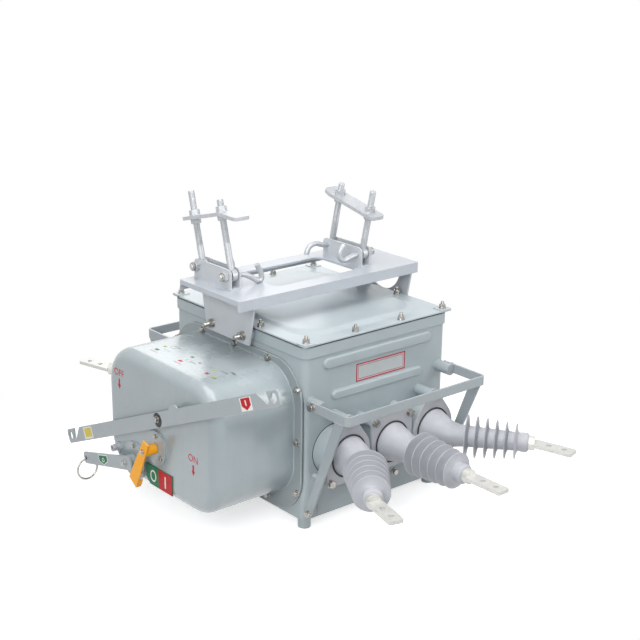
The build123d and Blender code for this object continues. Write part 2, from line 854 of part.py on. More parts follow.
def make_jaw(name):
    """Jaw folded from flat bar: one end turned, corners rounded, two holes for the rods."""
    plane = jaw_plane(name)
    near, far, end = jaw_near_run[name], jaw_far_run[name], jaw_tail_end[name]
    tail_turn = radians(jaw_tail_turn[name])
    bend = far if end > 0 else near
    tail = (end * (bend + jaw_tail_run[name] * cos(tail_turn)), jaw_tail_run[name] * sin(tail_turn))
    points = [(-near, 0), (far, 0), tail] if end > 0 else [tail, (-near, 0), (far, 0)]
    with BuildPart() as jaw:
        with BuildSketch(Plane(origin=plane.origin, x_dir=plane.y_dir, z_dir=(1, 0, 0))):
            with BuildLine():
                FilletPolyline(*points, radius=jaw_bend_radius)
                offset(amount=jaw_thickness, side=Side.LEFT)
            make_face()
        extrude(amount=jaw_width / 2, both=True)
        ends = jaw.edges().filter_by(lambda edge: abs(edge.length - jaw_thickness) < 0.01)
        fillet(ends, jaw_corner)
        with BuildSketch(plane):
            with GridLocations(1, 2 * rod_offset(name), 1, 2):
                Circle(jaw_hole)
        extrude(amount=jaw_thickness, mode=Mode.SUBTRACT)
    return jaw


def make_nuts(name):
    """Nuts above and below the jaw on both rods."""
    plane = jaw_plane(name)
    with BuildPart() as nuts:
        for start, height in ((jaw_thickness, nut_height), (0, -nut_height)):
            with BuildSketch(plane.offset(start)):
                with GridLocations(1, 2 * rod_offset(name), 1, 2):
                    RegularPolygon(nut_across_flats / 2, 6, major_radius=False)
                    Circle(rod_radius, mode=Mode.SUBTRACT)
            extrude(amount=height)
    return nuts


def make_hook_bolts(name, turns):
    """Hook bolts that pin the rods: nut outside, hook on the inner side."""
    inwards = 1 if name == "left" else -1
    x = clevis_near_x[name] + clevis_width / 2
    inner = x + inwards * clevis_width / 2
    outer = x - inwards * clevis_width / 2
    with BuildPart() as bolts:
        middle = clamp_middle_y[name]
        for y, turn in zip((middle - rod_spacing / 2, middle + rod_spacing / 2), turns):
            tail_x = outer - inwards * (nut_height + 10)
            bend_x = inner + inwards * hook_bolt_reach
            swing = (0, cos(radians(turn)), sin(radians(turn)))
            path_plane = Plane(
                origin=(bend_x, y, pin_height),
                x_dir=(inwards, 0, 0),
                z_dir=Vector(inwards, 0, 0).cross(Vector(*swing)),
            )
            with BuildLine(path_plane) as path:
                run = abs(bend_x - tail_x)
                Line((-run, 0), (0, 0))
                arc = CenterArc((0, hook_bend_radius), hook_bend_radius, -90, 150)
                end = arc @ 1
                heading = arc % 1
                Line(end, end + heading * hook_tail)
            with BuildSketch(Plane(origin=(tail_x, y, pin_height), z_dir=(inwards, 0, 0))):
                Circle(hook_bolt_radius)
            sweep(path=path.wires()[0])
            with BuildSketch(Plane(origin=(outer, y, pin_height), z_dir=(-inwards, 0, 0))):
                RegularPolygon(nut_across_flats / 2, 6, major_radius=False)
            extrude(amount=nut_height)
    return bolts


for clamp_name, hook_turns in (("left", (100, 60)), ("right", (110, 250))):
    save(make_clevis(clamp_name), f"clevis_{clamp_name}")
    save(make_rods(clamp_name), f"clamp_rods_{clamp_name}")
    save(make_jaw(clamp_name), f"clamp_jaw_{clamp_name}")
    save(make_nuts(clamp_name), f"jaw_nuts_{clamp_name}")
    save(make_hook_bolts(clamp_name, hook_turns), f"hook_bolts_{clamp_name}")

print("lever pivot", lever_plane_x, lever_y, lever_z)
print("winding pivot", handle_plane_x, winding_y, winding_z)
print("ring hinge", ring_x, ring_y, wire_z)
print("pointer pivot", pointer_plane_x, pointer_y, pointer_z)
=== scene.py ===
"""Dressed model of an outdoor load break switch that hangs under a cross-arm.

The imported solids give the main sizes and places. The classes below give them finishes, add
threads, bolts, pressings, labels and weld beads, and replace fourteen of them by finer forms:
the lid, the bushings, the clamp plates, the lever, and the clamps' nuts and hook bolts.
Lengths in this file are millimetres in the part's own frame, and become metres in the meshes.
"""

import logging
import math
from dataclasses import dataclass, field
from enum import Enum
from typing import Any, Optional, Sequence, Union

import bmesh
import bpy
import numpy as np
from mathutils import Matrix, Vector
from mathutils.geometry import convex_hull_2d, tessellate_polygon


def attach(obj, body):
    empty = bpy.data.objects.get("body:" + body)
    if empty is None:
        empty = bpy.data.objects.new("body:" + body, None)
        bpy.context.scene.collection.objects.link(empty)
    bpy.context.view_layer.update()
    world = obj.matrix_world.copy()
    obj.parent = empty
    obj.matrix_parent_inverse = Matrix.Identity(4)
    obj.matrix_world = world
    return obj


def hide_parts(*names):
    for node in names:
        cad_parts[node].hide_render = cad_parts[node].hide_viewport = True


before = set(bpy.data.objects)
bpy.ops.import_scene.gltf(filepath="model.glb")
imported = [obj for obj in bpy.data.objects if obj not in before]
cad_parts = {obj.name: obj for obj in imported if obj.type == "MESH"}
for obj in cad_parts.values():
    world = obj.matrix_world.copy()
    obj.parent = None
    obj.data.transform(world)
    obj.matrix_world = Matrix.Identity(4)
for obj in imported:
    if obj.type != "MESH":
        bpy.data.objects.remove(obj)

log = logging.getLogger("switch")
Array = np.ndarray
Point = Sequence[float]
TURN = 2 * math.pi
SIDES = (("front", -1), ("back", 1))

# Metres: vertices closer than the first are merged, edges shorter than the second are dropped
MERGE_DISTANCE = 2e-7
SHORTEST_EDGE = 1e-7
# Degrees: faces that meet at more than this have a sharp edge between them
SHARP_EDGE = 32
# Weld beads: spacing of the rings on a run and on a circle, then the pitch of the ripple and of
# the slower waver, each with the part of the radius that it adds (a seventh and a tenth)
BEAD_STEP = 1.7
ROUND_BEAD_STEP = 1.9
RIPPLE_PITCH, RIPPLE_PART = 5.0, 7
WAVER_PITCH, WAVER_PART = 37.0, 10
# Letters: a capital's height as a share of the font's size, and half their thickness
CAPITAL_SHARE = 0.7
LETTER_RISE = 0.25


# Shader maths


class Value:
    """A number output of a node, written in expressions as if it were a number."""

    def __init__(self, tree: "Tree", socket: Any) -> None:
        """Keep the socket and the tree it belongs to."""
        self.tree = tree
        self.socket = socket

    def _op(self, operation: str, first: Any, second: Any = None, clamp: bool = False) -> "Value":
        """Add one Math node.

        Args:
            operation: name of the Math node's operation.
            first: left operand, a number or a Value.
            second: right operand, if the operation has one.
            clamp: limit the result to 0..1.

        Returns:
            The node's output.
        """
        inputs = {0: first} if second is None else {0: first, 1: second}
        return self.tree.add("ShaderNodeMath", {"operation": operation, "use_clamp": clamp}, inputs).value()

    def __add__(self, other: Any) -> "Value":
        """Sum."""
        return self._op("ADD", self, other)

    def __radd__(self, other: Any) -> "Value":
        """Sum with a number on the left."""
        return self._op("ADD", other, self)

    def __sub__(self, other: Any) -> "Value":
        """Difference."""
        return self._op("SUBTRACT", self, other)

    def __mul__(self, other: Any) -> "Value":
        """Product."""
        return self._op("MULTIPLY", self, other)

    def clamp(self) -> "Value":
        """Limit to 0..1."""
        return self._op("ADD", self, 0.0, clamp=True)

    def root(self) -> "Value":
        """Square root."""
        return self._op("SQRT", self)

    def above(self, edge: float, soft: float) -> "Value":
        """0 under an edge and 1 above it, with a soft step of the given width."""
        return self._op("MULTIPLY", self - edge + soft / 2, 1 / soft, clamp=True)

    def most(self, other: Any) -> "Value":
        """The larger of two."""
        return self._op("MAXIMUM", self, other)


class Node:
    """A node in a tree, with short ways to reach its outputs."""

    def __init__(self, tree: "Tree", node: Any) -> None:
        """Keep the node and its tree."""
        self.tree = tree
        self.node = node

    def value(self, name: Any = 0) -> Value:
        """A number output by its name or place."""
        return Value(self.tree, self.node.outputs[name])

    def out(self, name: Any = 0) -> Any:
        """An output socket by its name or place."""
        return self.node.outputs[name]


class Tree:
    """The node tree of one material."""

    def __init__(self, name: str) -> None:
        """Make an empty material with a tree of its own."""
        self.material = bpy.data.materials.new(name)
        self.material.use_nodes = True
        self.nodes = self.material.node_tree.nodes
        self.links = self.material.node_tree.links
        self.nodes.clear()
        self._coordinates: Optional[Any] = None

    def add(self, kind: str, settings: Optional[dict[str, Any]] = None,
            inputs: Optional[dict[Any, Any]] = None) -> Node:
        """Add any node.

        Args:
            kind: the node's type.
            settings: properties, set before the sockets.
            inputs: socket name or place to a number, a colour, a Value, a Node or a socket.

        Returns:
            The new node.
        """
        node = self.nodes.new(kind)
        for key, setting in (settings or {}).items():
            setattr(node, key, setting)
        for key, source in (inputs or {}).items():
            self.feed(node.inputs[key], source)
        return Node(self, node)

    def feed(self, socket: Any, source: Any) -> None:
        """Set a socket to a constant, or link it to an output."""
        if isinstance(source, Value):
            self.links.new(source.socket, socket)
        elif isinstance(source, Node):
            self.links.new(source.out(), socket)
        elif isinstance(source, bpy.types.NodeSocket):
            self.links.new(source, socket)
        else:
            socket.default_value = source

    def coordinates(self) -> Any:
        """Object coordinates, in metres in the part's own frame."""
        if self._coordinates is None:
            self._coordinates = self.add("ShaderNodeTexCoord").out("Object")
        return self._coordinates

    def axes(self) -> tuple[Value, Value, Value]:
        """The three coordinates as numbers, in metres."""
        split = self.add("ShaderNodeSeparateXYZ", None, {0: self.coordinates()})
        return split.value(0), split.value(1), split.value(2)

    def noise(self, scale: float, detail: float = 3.0, rough: float = 0.5,
              stretch: tuple[float, float, float] = (1, 1, 1)) -> Value:
        """Noise over the object, 0..1.

        Args:
            scale: features per metre.
            detail: octaves.
            rough: share of each finer octave.
            stretch: scale of each axis before the noise.

        Returns:
            The noise value.
        """
        place = self.coordinates()
        if stretch != (1, 1, 1):
            place = self.add("ShaderNodeMapping", None, {"Vector": place, "Scale": stretch}).out()
        return self.add("ShaderNodeTexNoise", None, {"Vector": place, "Scale": scale, "Detail": detail,
                                                     "Roughness": rough}).value("Fac")

    def mix(self, share: Any, first: Any, second: Any) -> Any:
        """Mix two colours by a share and return the colour socket."""
        node = self.add("ShaderNodeMix", {"data_type": "RGBA"})
        colours = [s for s in node.node.inputs if s.type == "RGBA"]
        self.feed(node.node.inputs["Factor"], share)
        for socket, source in zip(colours, (first, second)):
            self.feed(socket, (*source, 1.0) if isinstance(source, tuple) and len(source) == 3 else source)
        return next(s for s in node.node.outputs if s.type == "RGBA")

    def bump(self, height: Value, distance: float, strength: float = 1.0, edge: float = 0.0) -> Any:
        """A bump from a height of 0..1 that stands for the given metres, over edges rounded by a radius."""
        inputs: dict[Any, Any] = {"Height": height, "Distance": distance, "Strength": strength}
        if edge:
            inputs["Normal"] = self.add("ShaderNodeBevel", {"samples": 4}, {"Radius": edge / 1000})
        return self.add("ShaderNodeBump", None, inputs).out()

    def upward(self) -> Value:
        """How far the surface faces up, -1..1."""
        normal = self.add("ShaderNodeNewGeometry").out("Normal")
        return self.add("ShaderNodeSeparateXYZ", None, {0: normal}).value(2)

    def surface(self, **inputs: Any) -> bpy.types.Material:
        """Close the tree with one Principled shader and return the material.

        Args:
            inputs: socket names with spaces written as underscores.

        Returns:
            The finished material.
        """
        shader = self.add("ShaderNodeBsdfPrincipled")
        for key, source in inputs.items():
            if isinstance(source, tuple) and len(source) == 3:
                source = (*source, 1.0)
            self.feed(shader.node.inputs[key.replace("_", " ")], source)
        output = self.add("ShaderNodeOutputMaterial")
        self.links.new(shader.out(), output.node.inputs["Surface"])
        return self.material


def shade(colour: tuple[float, ...], factor: float) -> tuple[float, ...]:
    """A colour made darker or lighter by a factor."""
    return tuple(min(1.0, c * factor) for c in colour)


# Finishes


@dataclass(frozen=True)
class Enamel:
    """Stoved enamel on sheet steel: slight orange peel, soft soiling, dust and faint runs."""

    name: str
    colour: tuple[float, float, float]
    roughness: float = 0.34
    soil: float = 0.08
    edge: float = 1.2
    coat: float = 0.25

    def make(self) -> bpy.types.Material:
        """Build the material."""
        tree = Tree(self.name)
        cloud = tree.noise(5.0, 4.0, 0.6)
        speck = tree.noise(420.0, 2.0)
        runs = tree.noise(22.0, 3.0, 0.6, (1.0, 1.0, 0.16))
        colour = tree.mix(cloud.above(0.5, 0.5), shade(self.colour, 1 - self.soil),
                          shade(self.colour, 1 + self.soil * 0.5))
        colour = tree.mix(runs.above(0.60, 0.2) * 0.12, colour, shade(self.colour, 0.75))
        dust = tree.upward().above(0.6, 0.8) * tree.noise(14.0, 4.0, 0.65).above(0.5, 0.35)
        colour = tree.mix(dust * 0.16, colour, (0.74, 0.74, 0.72))
        fleck = tree.noise(150.0, 2.0).above(0.74, 0.04)
        colour = tree.mix(fleck * 0.25, colour, shade(self.colour, 0.55))
        rough = self.roughness + (cloud - 0.5) * 0.16 + (speck - 0.5) * 0.05 + dust * 0.10
        relief = tree.noise(900.0, 1.0) * 0.35 + tree.noise(60.0, 1.0) * 0.65
        return tree.surface(Base_Color=colour, Roughness=rough.clamp(), Coat_Weight=self.coat, Coat_Roughness=0.22,
                            Normal=tree.bump(relief, 0.0004, 0.5, self.edge))


@dataclass(frozen=True)
class Zinc:
    """Zinc on steel: pale, mottled where the coat froze, duller in its dips."""

    name: str
    colour: tuple[float, float, float] = (0.66, 0.68, 0.69)
    roughness: float = 0.42
    mottle: float = 0.14
    metal: float = 0.75
    edge: float = 0.8

    def make(self) -> bpy.types.Material:
        """Build the material."""
        tree = Tree(self.name)
        spangle = tree.add("ShaderNodeTexVoronoi", {"feature": "F1"},
                           {"Vector": tree.coordinates(), "Scale": 190.0}).value("Distance")
        cloud = tree.noise(40.0, 4.0, 0.6)
        colour = tree.mix((cloud * 0.7 + spangle * 0.5).above(0.55, 0.6), shade(self.colour, 1 - self.mottle),
                          shade(self.colour, 1 + self.mottle * 0.6))
        stain = tree.noise(90.0, 3.0).above(0.66, 0.1)
        colour = tree.mix(stain * 0.3, colour, shade(self.colour, 0.6))
        rough = self.roughness + (cloud - 0.5) * 0.3 + stain * 0.1
        return tree.surface(Base_Color=colour, Roughness=rough.clamp(), Metallic=self.metal,
                            Normal=tree.bump(cloud * 0.7 + tree.noise(500.0, 2.0) * 0.3, 0.0005, 0.5, self.edge))


@dataclass(frozen=True)
class BushingRubber:
    """Satin weather shed rubber: faint mould mottling, paler dust on what faces up."""

    name: str
    colour: tuple[float, float, float] = (0.37, 0.36, 0.40)
    roughness: float = 0.42

    def make(self) -> bpy.types.Material:
        """Build the material."""
        tree = Tree(self.name)
        cloud = tree.noise(30.0, 4.0, 0.6)
        colour = tree.mix(cloud, shade(self.colour, 0.88), shade(self.colour, 1.08))
        dust = tree.upward().above(0.55, 0.9) * cloud.above(0.45, 0.4)
        colour = tree.mix(dust * 0.35, colour, (0.66, 0.65, 0.67))
        rough = self.roughness + dust * 0.2 + (cloud - 0.5) * 0.1
        return tree.surface(Base_Color=colour, Roughness=rough.clamp(), Specular_IOR_Level=0.4,
                            Normal=tree.bump(tree.noise(700.0, 2.0), 0.0003, 0.4))


@dataclass(frozen=True)
class BlackRubberAndShade:
    """Black rubber for gaskets, also used for rings of painted shade."""

    name: str
    colour: tuple[float, float, float] = (0.018, 0.019, 0.02)

    def make(self) -> bpy.types.Material:
        """Build the material."""
        tree = Tree(self.name)
        cloud = tree.noise(120.0, 3.0)
        colour = tree.mix(cloud, self.colour, shade(self.colour, 2.2))
        return tree.surface(Base_Color=colour, Roughness=(0.55 + cloud * 0.25), Normal=tree.bump(cloud, 0.0003, 0.5))


@dataclass(frozen=True)
class Film:
    """Printed label film, slightly faded and scuffed."""

    name: str
    colour: tuple[float, float, float]
    roughness: float = 0.38

    def make(self) -> bpy.types.Material:
        """Build the material."""
        tree = Tree(self.name)
        fade = tree.noise(35.0, 3.0)
        scuff = tree.noise(260.0, 3.0, 0.7).above(0.66, 0.08)
        colour = tree.mix(fade, shade(self.colour, 0.92), shade(self.colour, 1.06))
        colour = tree.mix(scuff * 0.25, colour, (0.72, 0.72, 0.70))
        rough = self.roughness + scuff * 0.2
        return tree.surface(Base_Color=colour, Roughness=rough.clamp(), Specular_IOR_Level=0.2,
                            Normal=tree.bump(tree.noise(200.0, 2.0), 0.0002, 0.4))


class Coat(Enum):
    """The finishes of the switch."""

    TANK = Enamel("tank_enamel", (0.40, 0.465, 0.49), 0.36)
    COVER = Enamel("cover_enamel", (0.35, 0.41, 0.435), 0.22, 0.08, 1.2, 0.6)
    # The enamel made darker as painted shade for the cover's flange, which lies in the cover's shade
    FLANGE = Enamel("flange_enamel_painted_shade", (0.28, 0.325, 0.345), 0.36)
    LID = Enamel("lid_enamel", (0.435, 0.505, 0.54), 0.32, 0.05, 1.2, 0.3)
    FRAME = Enamel("frame_enamel", (0.50, 0.535, 0.585), 0.40, 0.05)
    FITTING = Enamel("fitting_enamel", (0.375, 0.42, 0.445), 0.38)
    PLATE = Enamel("plate_enamel", (0.57, 0.60, 0.635), 0.38)
    CLAMP_PLATE = Enamel("clamp_plate_enamel", (0.46, 0.475, 0.505), 0.38)
    YELLOW = Enamel("yellow_enamel", (1.0, 0.42, 0.0), 0.42, 0.04, 1.2, 0.0)
    GALVANISED = Zinc("hot_dip_zinc", (0.53, 0.55, 0.575), 0.42, 0.16, 0.40)
    PLATED = Zinc("zinc_plate", (0.40, 0.385, 0.36), 0.26, 0.3, 1.0, 0.3)
    BLACKENED = Zinc("blackened_steel", (0.05, 0.05, 0.05), 0.45, 0.3, 0.6, 0.3)
    TINNED = Zinc("tinned_copper", (0.66, 0.655, 0.63), 0.38, 0.12, 0.5, 1.0)
    RESIN = BushingRubber("shed_rubber", (0.47, 0.485, 0.525))
    # Black: the real gaskets, and also rings of painted shade round the necks and the drums
    GASKET = BlackRubberAndShade("gasket_rubber_and_painted_shade")
    GREEN = Film("green_plate", (0.0, 0.17, 0.07))
    RED = Film("red_plate", (0.50, 0.004, 0.012))
    RED_PRINT = Film("red_print", (0.50, 0.02, 0.035))
    WHITE_PRINT = Film("white_print", (0.84, 0.84, 0.82))
    PALE_PRINT = Film("pale_print", (0.50, 0.54, 0.55))
    YELLOW_PRINT = Film("yellow_print", (0.72, 0.60, 0.10))
    LIME_PRINT = Film("lime_print", (0.42, 0.46, 0.08))
    GREEN_PRINT = Film("green_print", (0.02, 0.20, 0.11))
    DARK_PRINT = Film("dark_print", (0.16, 0.18, 0.21))

    def material(self) -> bpy.types.Material:
        """The finish's material, made once."""
        return bpy.data.materials.get(self.value.name) or self.value.make()


NODE_COATS: dict[str, Coat] = {
    "tank": Coat.TANK, "feet": Coat.TANK, "lid_gasket": Coat.GASKET, "lid": Coat.LID,
    "bushing_drums": Coat.TANK, "clamp_plates": Coat.CLAMP_PLATE, "bushing": Coat.RESIN, "terminal": Coat.TINNED,
    "guard": Coat.FITTING, "mechanism_cover": Coat.COVER, "cover_flange": Coat.FLANGE, "pointer_bearing": Coat.COVER,
    "winding_bearing": Coat.COVER, "lever_journal": Coat.BLACKENED, "indicator_plate": Coat.GREEN,
    "socket_stub": Coat.GALVANISED, "operating_lever": Coat.FITTING, "winding_handle": Coat.FITTING,
    "pull_ring": Coat.PLATED, "pointer": Coat.YELLOW, "hanging_frame": Coat.FRAME, "frame_leg": Coat.PLATE,
    "clevis": Coat.PLATE, "clamp": Coat.GALVANISED, "jaw": Coat.GALVANISED, "hook": Coat.GALVANISED,
}


def coat_nodes() -> None:
    """Give every solid of the frame the finish of its kind, by the longest name that fits."""
    for name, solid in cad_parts.items():
        key = max((k for k in NODE_COATS if name.startswith(k)), key=len)
        solid.data.materials.clear()
        solid.data.materials.append(NODE_COATS[key].material())


# Surfaces


@dataclass
class Seat:
    """A place on a surface: its origin, the way out of the surface and a direction along it."""

    origin: Point
    out: Point
    along: Optional[Point] = None

    def place(self, local: Array) -> Array:
        """Carry local points to the part's frame.

        Args:
            local: points whose last axis is (along, beside, out), with beside = out x along.

        Returns:
            origin + local[0] * along + local[1] * beside + local[2] * out, for every point.
        """
        out = np.array(self.out, float) / np.linalg.norm(self.out)
        guide = self.along if self.along is not None else ((0, 0, 1) if abs(out[2]) < 0.9 else (1, 0, 0))
        along = np.array(guide, float) - np.dot(guide, out) * out
        along /= np.linalg.norm(along)
        return np.array(self.origin, float) + local @ np.array((along, np.cross(out, along), out))


def on_face(x: float, y: float, z: float, turn: float = 0.0) -> Seat:
    """A seat on the cover's face, its along direction -Y turned by an angle in degrees towards +Z."""
    turn = math.radians(turn)
    return Seat((x, y, z), (-1, 0, 0), (0, -math.cos(turn), math.sin(turn)))


def on_wall(side: int, x: float, y: float, z: float) -> Seat:
    """A seat on a long side of the tank, front for -1 and back for 1, at y from the middle."""
    return Seat((x, side * y, z), (0, side, 0), (-side, 0, 0))


def on_top(x: float, y: float, z: float) -> Seat:
    """A seat that faces up, its along direction +X."""
    return Seat((x, y, z), (0, 0, 1), (1, 0, 0))


class Shell:
    """Gathers patches of surface, each with a finish, and makes them one mesh piece."""

    def __init__(self) -> None:
        """Start with no patches."""
        self.points: list[Array] = []
        self.faces: list[Sequence[int]] = []
        self.coats: list[Coat] = []
        self.index: list[int] = []
        self.count = 0

    def _take(self, points: Array, faces: list[Sequence[int]], coat: Coat) -> None:
        """Append points and faces that index them."""
        if coat not in self.coats:
            self.coats.append(coat)
        self.points.append(points.reshape(-1, 3))
        self.faces.extend(faces)
        self.index.extend([self.coats.index(coat)] * len(faces))
        self.count += len(self.points[-1])

    def grid(self, points: Array, coat: Coat, ring: bool = False, loop: bool = False) -> None:
        """Add a surface given on a grid of two parameters.

        Args:
            points: array of rows by columns by 3.
            coat: its finish.
            ring: join the last column to the first.
            loop: join the last row to the first.
        """
        rows, columns = points.shape[:2]
        index = self.count + np.arange(rows * columns).reshape(rows, columns)
        if ring:
            index = np.concatenate((index, index[:, :1]), axis=1)
        if loop:
            index = np.concatenate((index, index[:1]), axis=0)
        quads = np.stack((index[:-1, :-1], index[:-1, 1:], index[1:, 1:], index[1:, :-1]), axis=-1)
        self._take(points, quads.reshape(-1, 4).tolist(), coat)

    def turned(self, seat: Seat, radii: Array, heights: Array, coat: Coat) -> None:
        """Add a closed body round a seat's way out.

        Each row is a ring: its points are (r cos a, r sin a, h) with a going round once. The ends
        are closed by rings of no radius at the first and the last height.

        Args:
            seat: where it stands.
            radii: radius of each row, or of each row and column where it changes round the ring.
            heights: height of each row, or of each row and column.
            coat: its finish.
        """
        columns = radii.shape[1] if radii.ndim == 2 else 32
        radii = np.broadcast_to(radii.reshape(len(radii), -1), (len(radii), columns))
        heights = np.broadcast_to(heights.reshape(len(heights), -1), radii.shape)
        none = np.zeros((1, columns))
        radii = np.concatenate((none, radii, none))
        heights = np.concatenate((none + heights[0].mean(), heights, none + heights[-1].mean()))
        angle = np.arange(columns) * TURN / columns
        local = np.stack((radii * np.cos(angle), radii * np.sin(angle), heights), axis=-1)
        self.grid(seat.place(local), coat, ring=True)

    def prism(self, seat: Seat, outline: Array, low: float, high: float, coat: Coat, soft: float = 0.0) -> None:
        """Add a flat plate with the given outline.

        Args:
            seat: its plane.
            outline: corners in the plane, in order.
            low: height of its underside.
            high: height of its top.
            coat: its finish.
            soft: how far the top edge is drawn in, as a small chamfer.
        """
        middle = outline.mean(axis=0)
        reach = np.linalg.norm(outline - middle, axis=1, keepdims=True)
        inner = middle + (outline - middle) * (1 - soft / np.maximum(reach, 1e-6))
        rows = [(outline, low), (outline, high - soft), (inner, high)] if soft else [(outline, low), (outline, high)]
        local = np.stack([at_height(shape, height) for shape, height in rows])
        first = self.count
        self.grid(seat.place(local), coat, ring=True)
        size = len(outline)
        self._take(np.zeros((0, 3)), [list(range(first, first + size)),
                                      list(range(self.count - size, self.count))], coat)

    def pierced(self, seat: Seat, loops: Sequence[Array], low: float, high: float, coat: Coat) -> None:
        """Add a flat plate with holes.

        Args:
            seat: its plane.
            loops: its outline, then the outline of each hole.
            low: height of its underside.
            high: height of its top.
            coat: its finish.
        """
        flat = np.concatenate(loops)
        size = len(flat)
        cap = np.array(tessellate_polygon([[Vector((*point, 0.0)) for point in loop] for loop in loops]))
        local = np.concatenate([at_height(flat, height) for height in (low, high)])
        faces = (self.count + cap).tolist() + (self.count + size + cap).tolist()
        start = self.count
        for loop in loops:
            index = start + np.arange(len(loop))
            after = np.roll(index, -1)
            faces += np.stack((index, after, after + size, index + size), axis=1).tolist()
            start += len(loop)
        self._take(seat.place(local), faces, coat)

    def letters(self, seat: Seat, words: str, height: float, coat: Coat) -> None:
        """Add raised letters of a capital height: a text curve, made a mesh and then placed."""
        curve = bpy.data.curves.new(words, "FONT")
        curve.body = words
        curve.size = height / CAPITAL_SHARE
        curve.align_x = "CENTER"
        curve.align_y = "CENTER"
        curve.extrude = LETTER_RISE
        holder = bpy.data.objects.new(words, curve)
        mesh = bpy.data.meshes.new_from_object(holder)
        points = np.empty(len(mesh.vertices) * 3)
        mesh.vertices.foreach_get("co", points)
        faces = [[self.count + v for v in polygon.vertices] for polygon in mesh.polygons]
        self._take(seat.place(points.reshape(-1, 3)), faces, coat)
        bpy.data.objects.remove(holder)
        bpy.data.curves.remove(curve)
        bpy.data.meshes.remove(mesh)

    def tube(self, path: Array, radii: Union[float, Array], coat: Coat, columns: int = 12, loop: bool = False) -> None:
        """Add a tube along a path.

        A ring of each point is c + r (cos a u + sin a v), where u is square to the path and to its
        plane's normal, and v is that normal.

        Args:
            path: its points.
            radii: one radius, or one for each point.
            coat: its finish.
            columns: points round the tube.
            loop: the path closes on itself.
        """
        if loop:
            along = np.roll(path, -1, axis=0) - np.roll(path, 1, axis=0)
        else:
            along = np.gradient(path, axis=0)
        along /= np.linalg.norm(along, axis=1, keepdims=True)
        bend = np.cross(along[0], along[len(along) // 3])
        if np.linalg.norm(bend) < 1e-4:
            bend = np.cross(along[0], (0, 0, 1) if abs(along[0][2]) < 0.9 else (1, 0, 0))
        across = np.cross(along, bend / np.linalg.norm(bend))
        across /= np.linalg.norm(across, axis=1, keepdims=True)
        upward = np.cross(across, along)
        angle = (np.arange(columns) * TURN / columns)[None, :, None]
        radius = np.broadcast_to(np.asarray(radii, float), (len(path),))[:, None, None]
        rings = path[:, None] + radius * (np.cos(angle) * across[:, None] + np.sin(angle) * upward[:, None])
        if not loop:
            ends = np.broadcast_to(path[[0, -1]][:, None], (2, columns, 3))
            rings = np.concatenate((ends[:1], rings, ends[1:]))
        self.grid(rings, coat, ring=True, loop=loop)

    def bead(self, corners: Sequence[Point], radius: float, coat: Coat, loop: bool = False) -> None:
        """Add a weld bead along straight runs: a tube whose radius ripples and slowly wavers."""
        ends = np.array(list(corners) + ([corners[0]] if loop else []), float)
        runs = np.linalg.norm(np.diff(ends, axis=0), axis=1)
        total = np.concatenate(([0.0], np.cumsum(runs)))
        stations = np.linspace(0, total[-1], max(int(total[-1] / BEAD_STEP), 4), endpoint=not loop)
        path = np.stack([np.interp(stations, total, ends[:, axis]) for axis in range(3)], axis=1)
        ripple = np.sin(stations * TURN / RIPPLE_PITCH) / RIPPLE_PART
        waver = np.sin(stations * TURN / WAVER_PITCH) / WAVER_PART
        self.tube(path, radius * (1 + ripple + waver), coat, 8, loop)

    def round_bead(self, seat: Seat, radius: float, thickness: float, coat: Coat) -> None:
        """Add a rippled weld bead round a circle."""
        angle = np.arange(0, TURN, ROUND_BEAD_STEP / radius)
        path = seat.place(np.stack((radius * np.cos(angle), radius * np.sin(angle), 0 * angle), axis=1))
        ripple = np.sin(angle * round(radius * TURN / RIPPLE_PITCH)) / RIPPLE_PART
        self.tube(path, thickness * (1 + ripple), coat, 8, True)

    def finish(self, name: str, body: str = "switch", slot: str = "paint",
               stands_for: Sequence[str] = ()) -> bpy.types.Object:
        """Make the piece, merge its poles, point its faces outwards and hand it to a body.

        Args:
            name: the piece's name.
            body: the body that it moves with.
            slot: a material slot's name, not used.
            stands_for: the frame's nodes that it replaces.

        Returns:
            The new object.
        """
        mesh = bpy.data.meshes.new(name)
        mesh.from_pydata((np.concatenate(self.points) / 1000).tolist(), [], self.faces)
        for coat in self.coats:
            mesh.materials.append(coat.material())
        mesh.polygons.foreach_set("material_index", self.index)
        work = bmesh.new()
        work.from_mesh(mesh)
        bmesh.ops.remove_doubles(work, verts=work.verts, dist=MERGE_DISTANCE)
        bmesh.ops.dissolve_degenerate(work, edges=work.edges, dist=SHORTEST_EDGE)
        bmesh.ops.recalc_face_normals(work, faces=work.faces)
        work.to_mesh(mesh)
        work.free()
        mesh.polygons.foreach_set("use_smooth", [True] * len(mesh.polygons))
        mesh.set_sharp_from_angle(angle=math.radians(SHARP_EDGE))
        piece = bpy.data.objects.new(name, mesh)
        bpy.context.scene.collection.objects.link(piece)
        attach(piece, body)
        if stands_for:
            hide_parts(*stands_for)
        log.info("%s: %d faces", name, len(mesh.polygons))
        return piece


def rounded_outline(half_x: Array, half_y: Array, radius: Array, steps: int = 10) -> Array:
    """Outlines of rectangles with round corners, one a row.

    Each corner is an arc: centre (+-(a - r), +-(b - r)) plus r (cos t, sin t), t over a quarter turn.

    Args:
        half_x: half lengths a.
        half_y: half widths b.
        radius: corner radii r.
        steps: points in each corner.

    Returns:
        Array of rows by points by 2.
    """
    quarter = np.linspace(0, math.pi / 2, steps)
    angle = np.concatenate([quarter + corner * math.pi / 2 for corner in range(4)])
    sign_x = np.repeat((1, -1, -1, 1), steps)
    sign_y = np.repeat((1, 1, -1, -1), steps)
    a, b, r = (np.atleast_1d(v).astype(float)[:, None] for v in (half_x, half_y, radius))
    return np.stack((sign_x * (a - r) + r * np.cos(angle), sign_y * (b - r) + r * np.sin(angle)), axis=-1)


def box_outline(width: float, height: float, radius: float = 0.0, centre: Point = (0, 0)) -> Array:
    """Outline of one rectangle, with round corners if a radius is given."""
    shape = rounded_outline(width / 2, height / 2, max(radius, 1e-3), 6 if radius else 2)[0]
    return shape + np.array(centre)


def at_height(outline: Array, height: float) -> Array:
    """The points of a flat outline at a height over its plane."""
    return np.column_stack((outline, np.full(len(outline), height)))


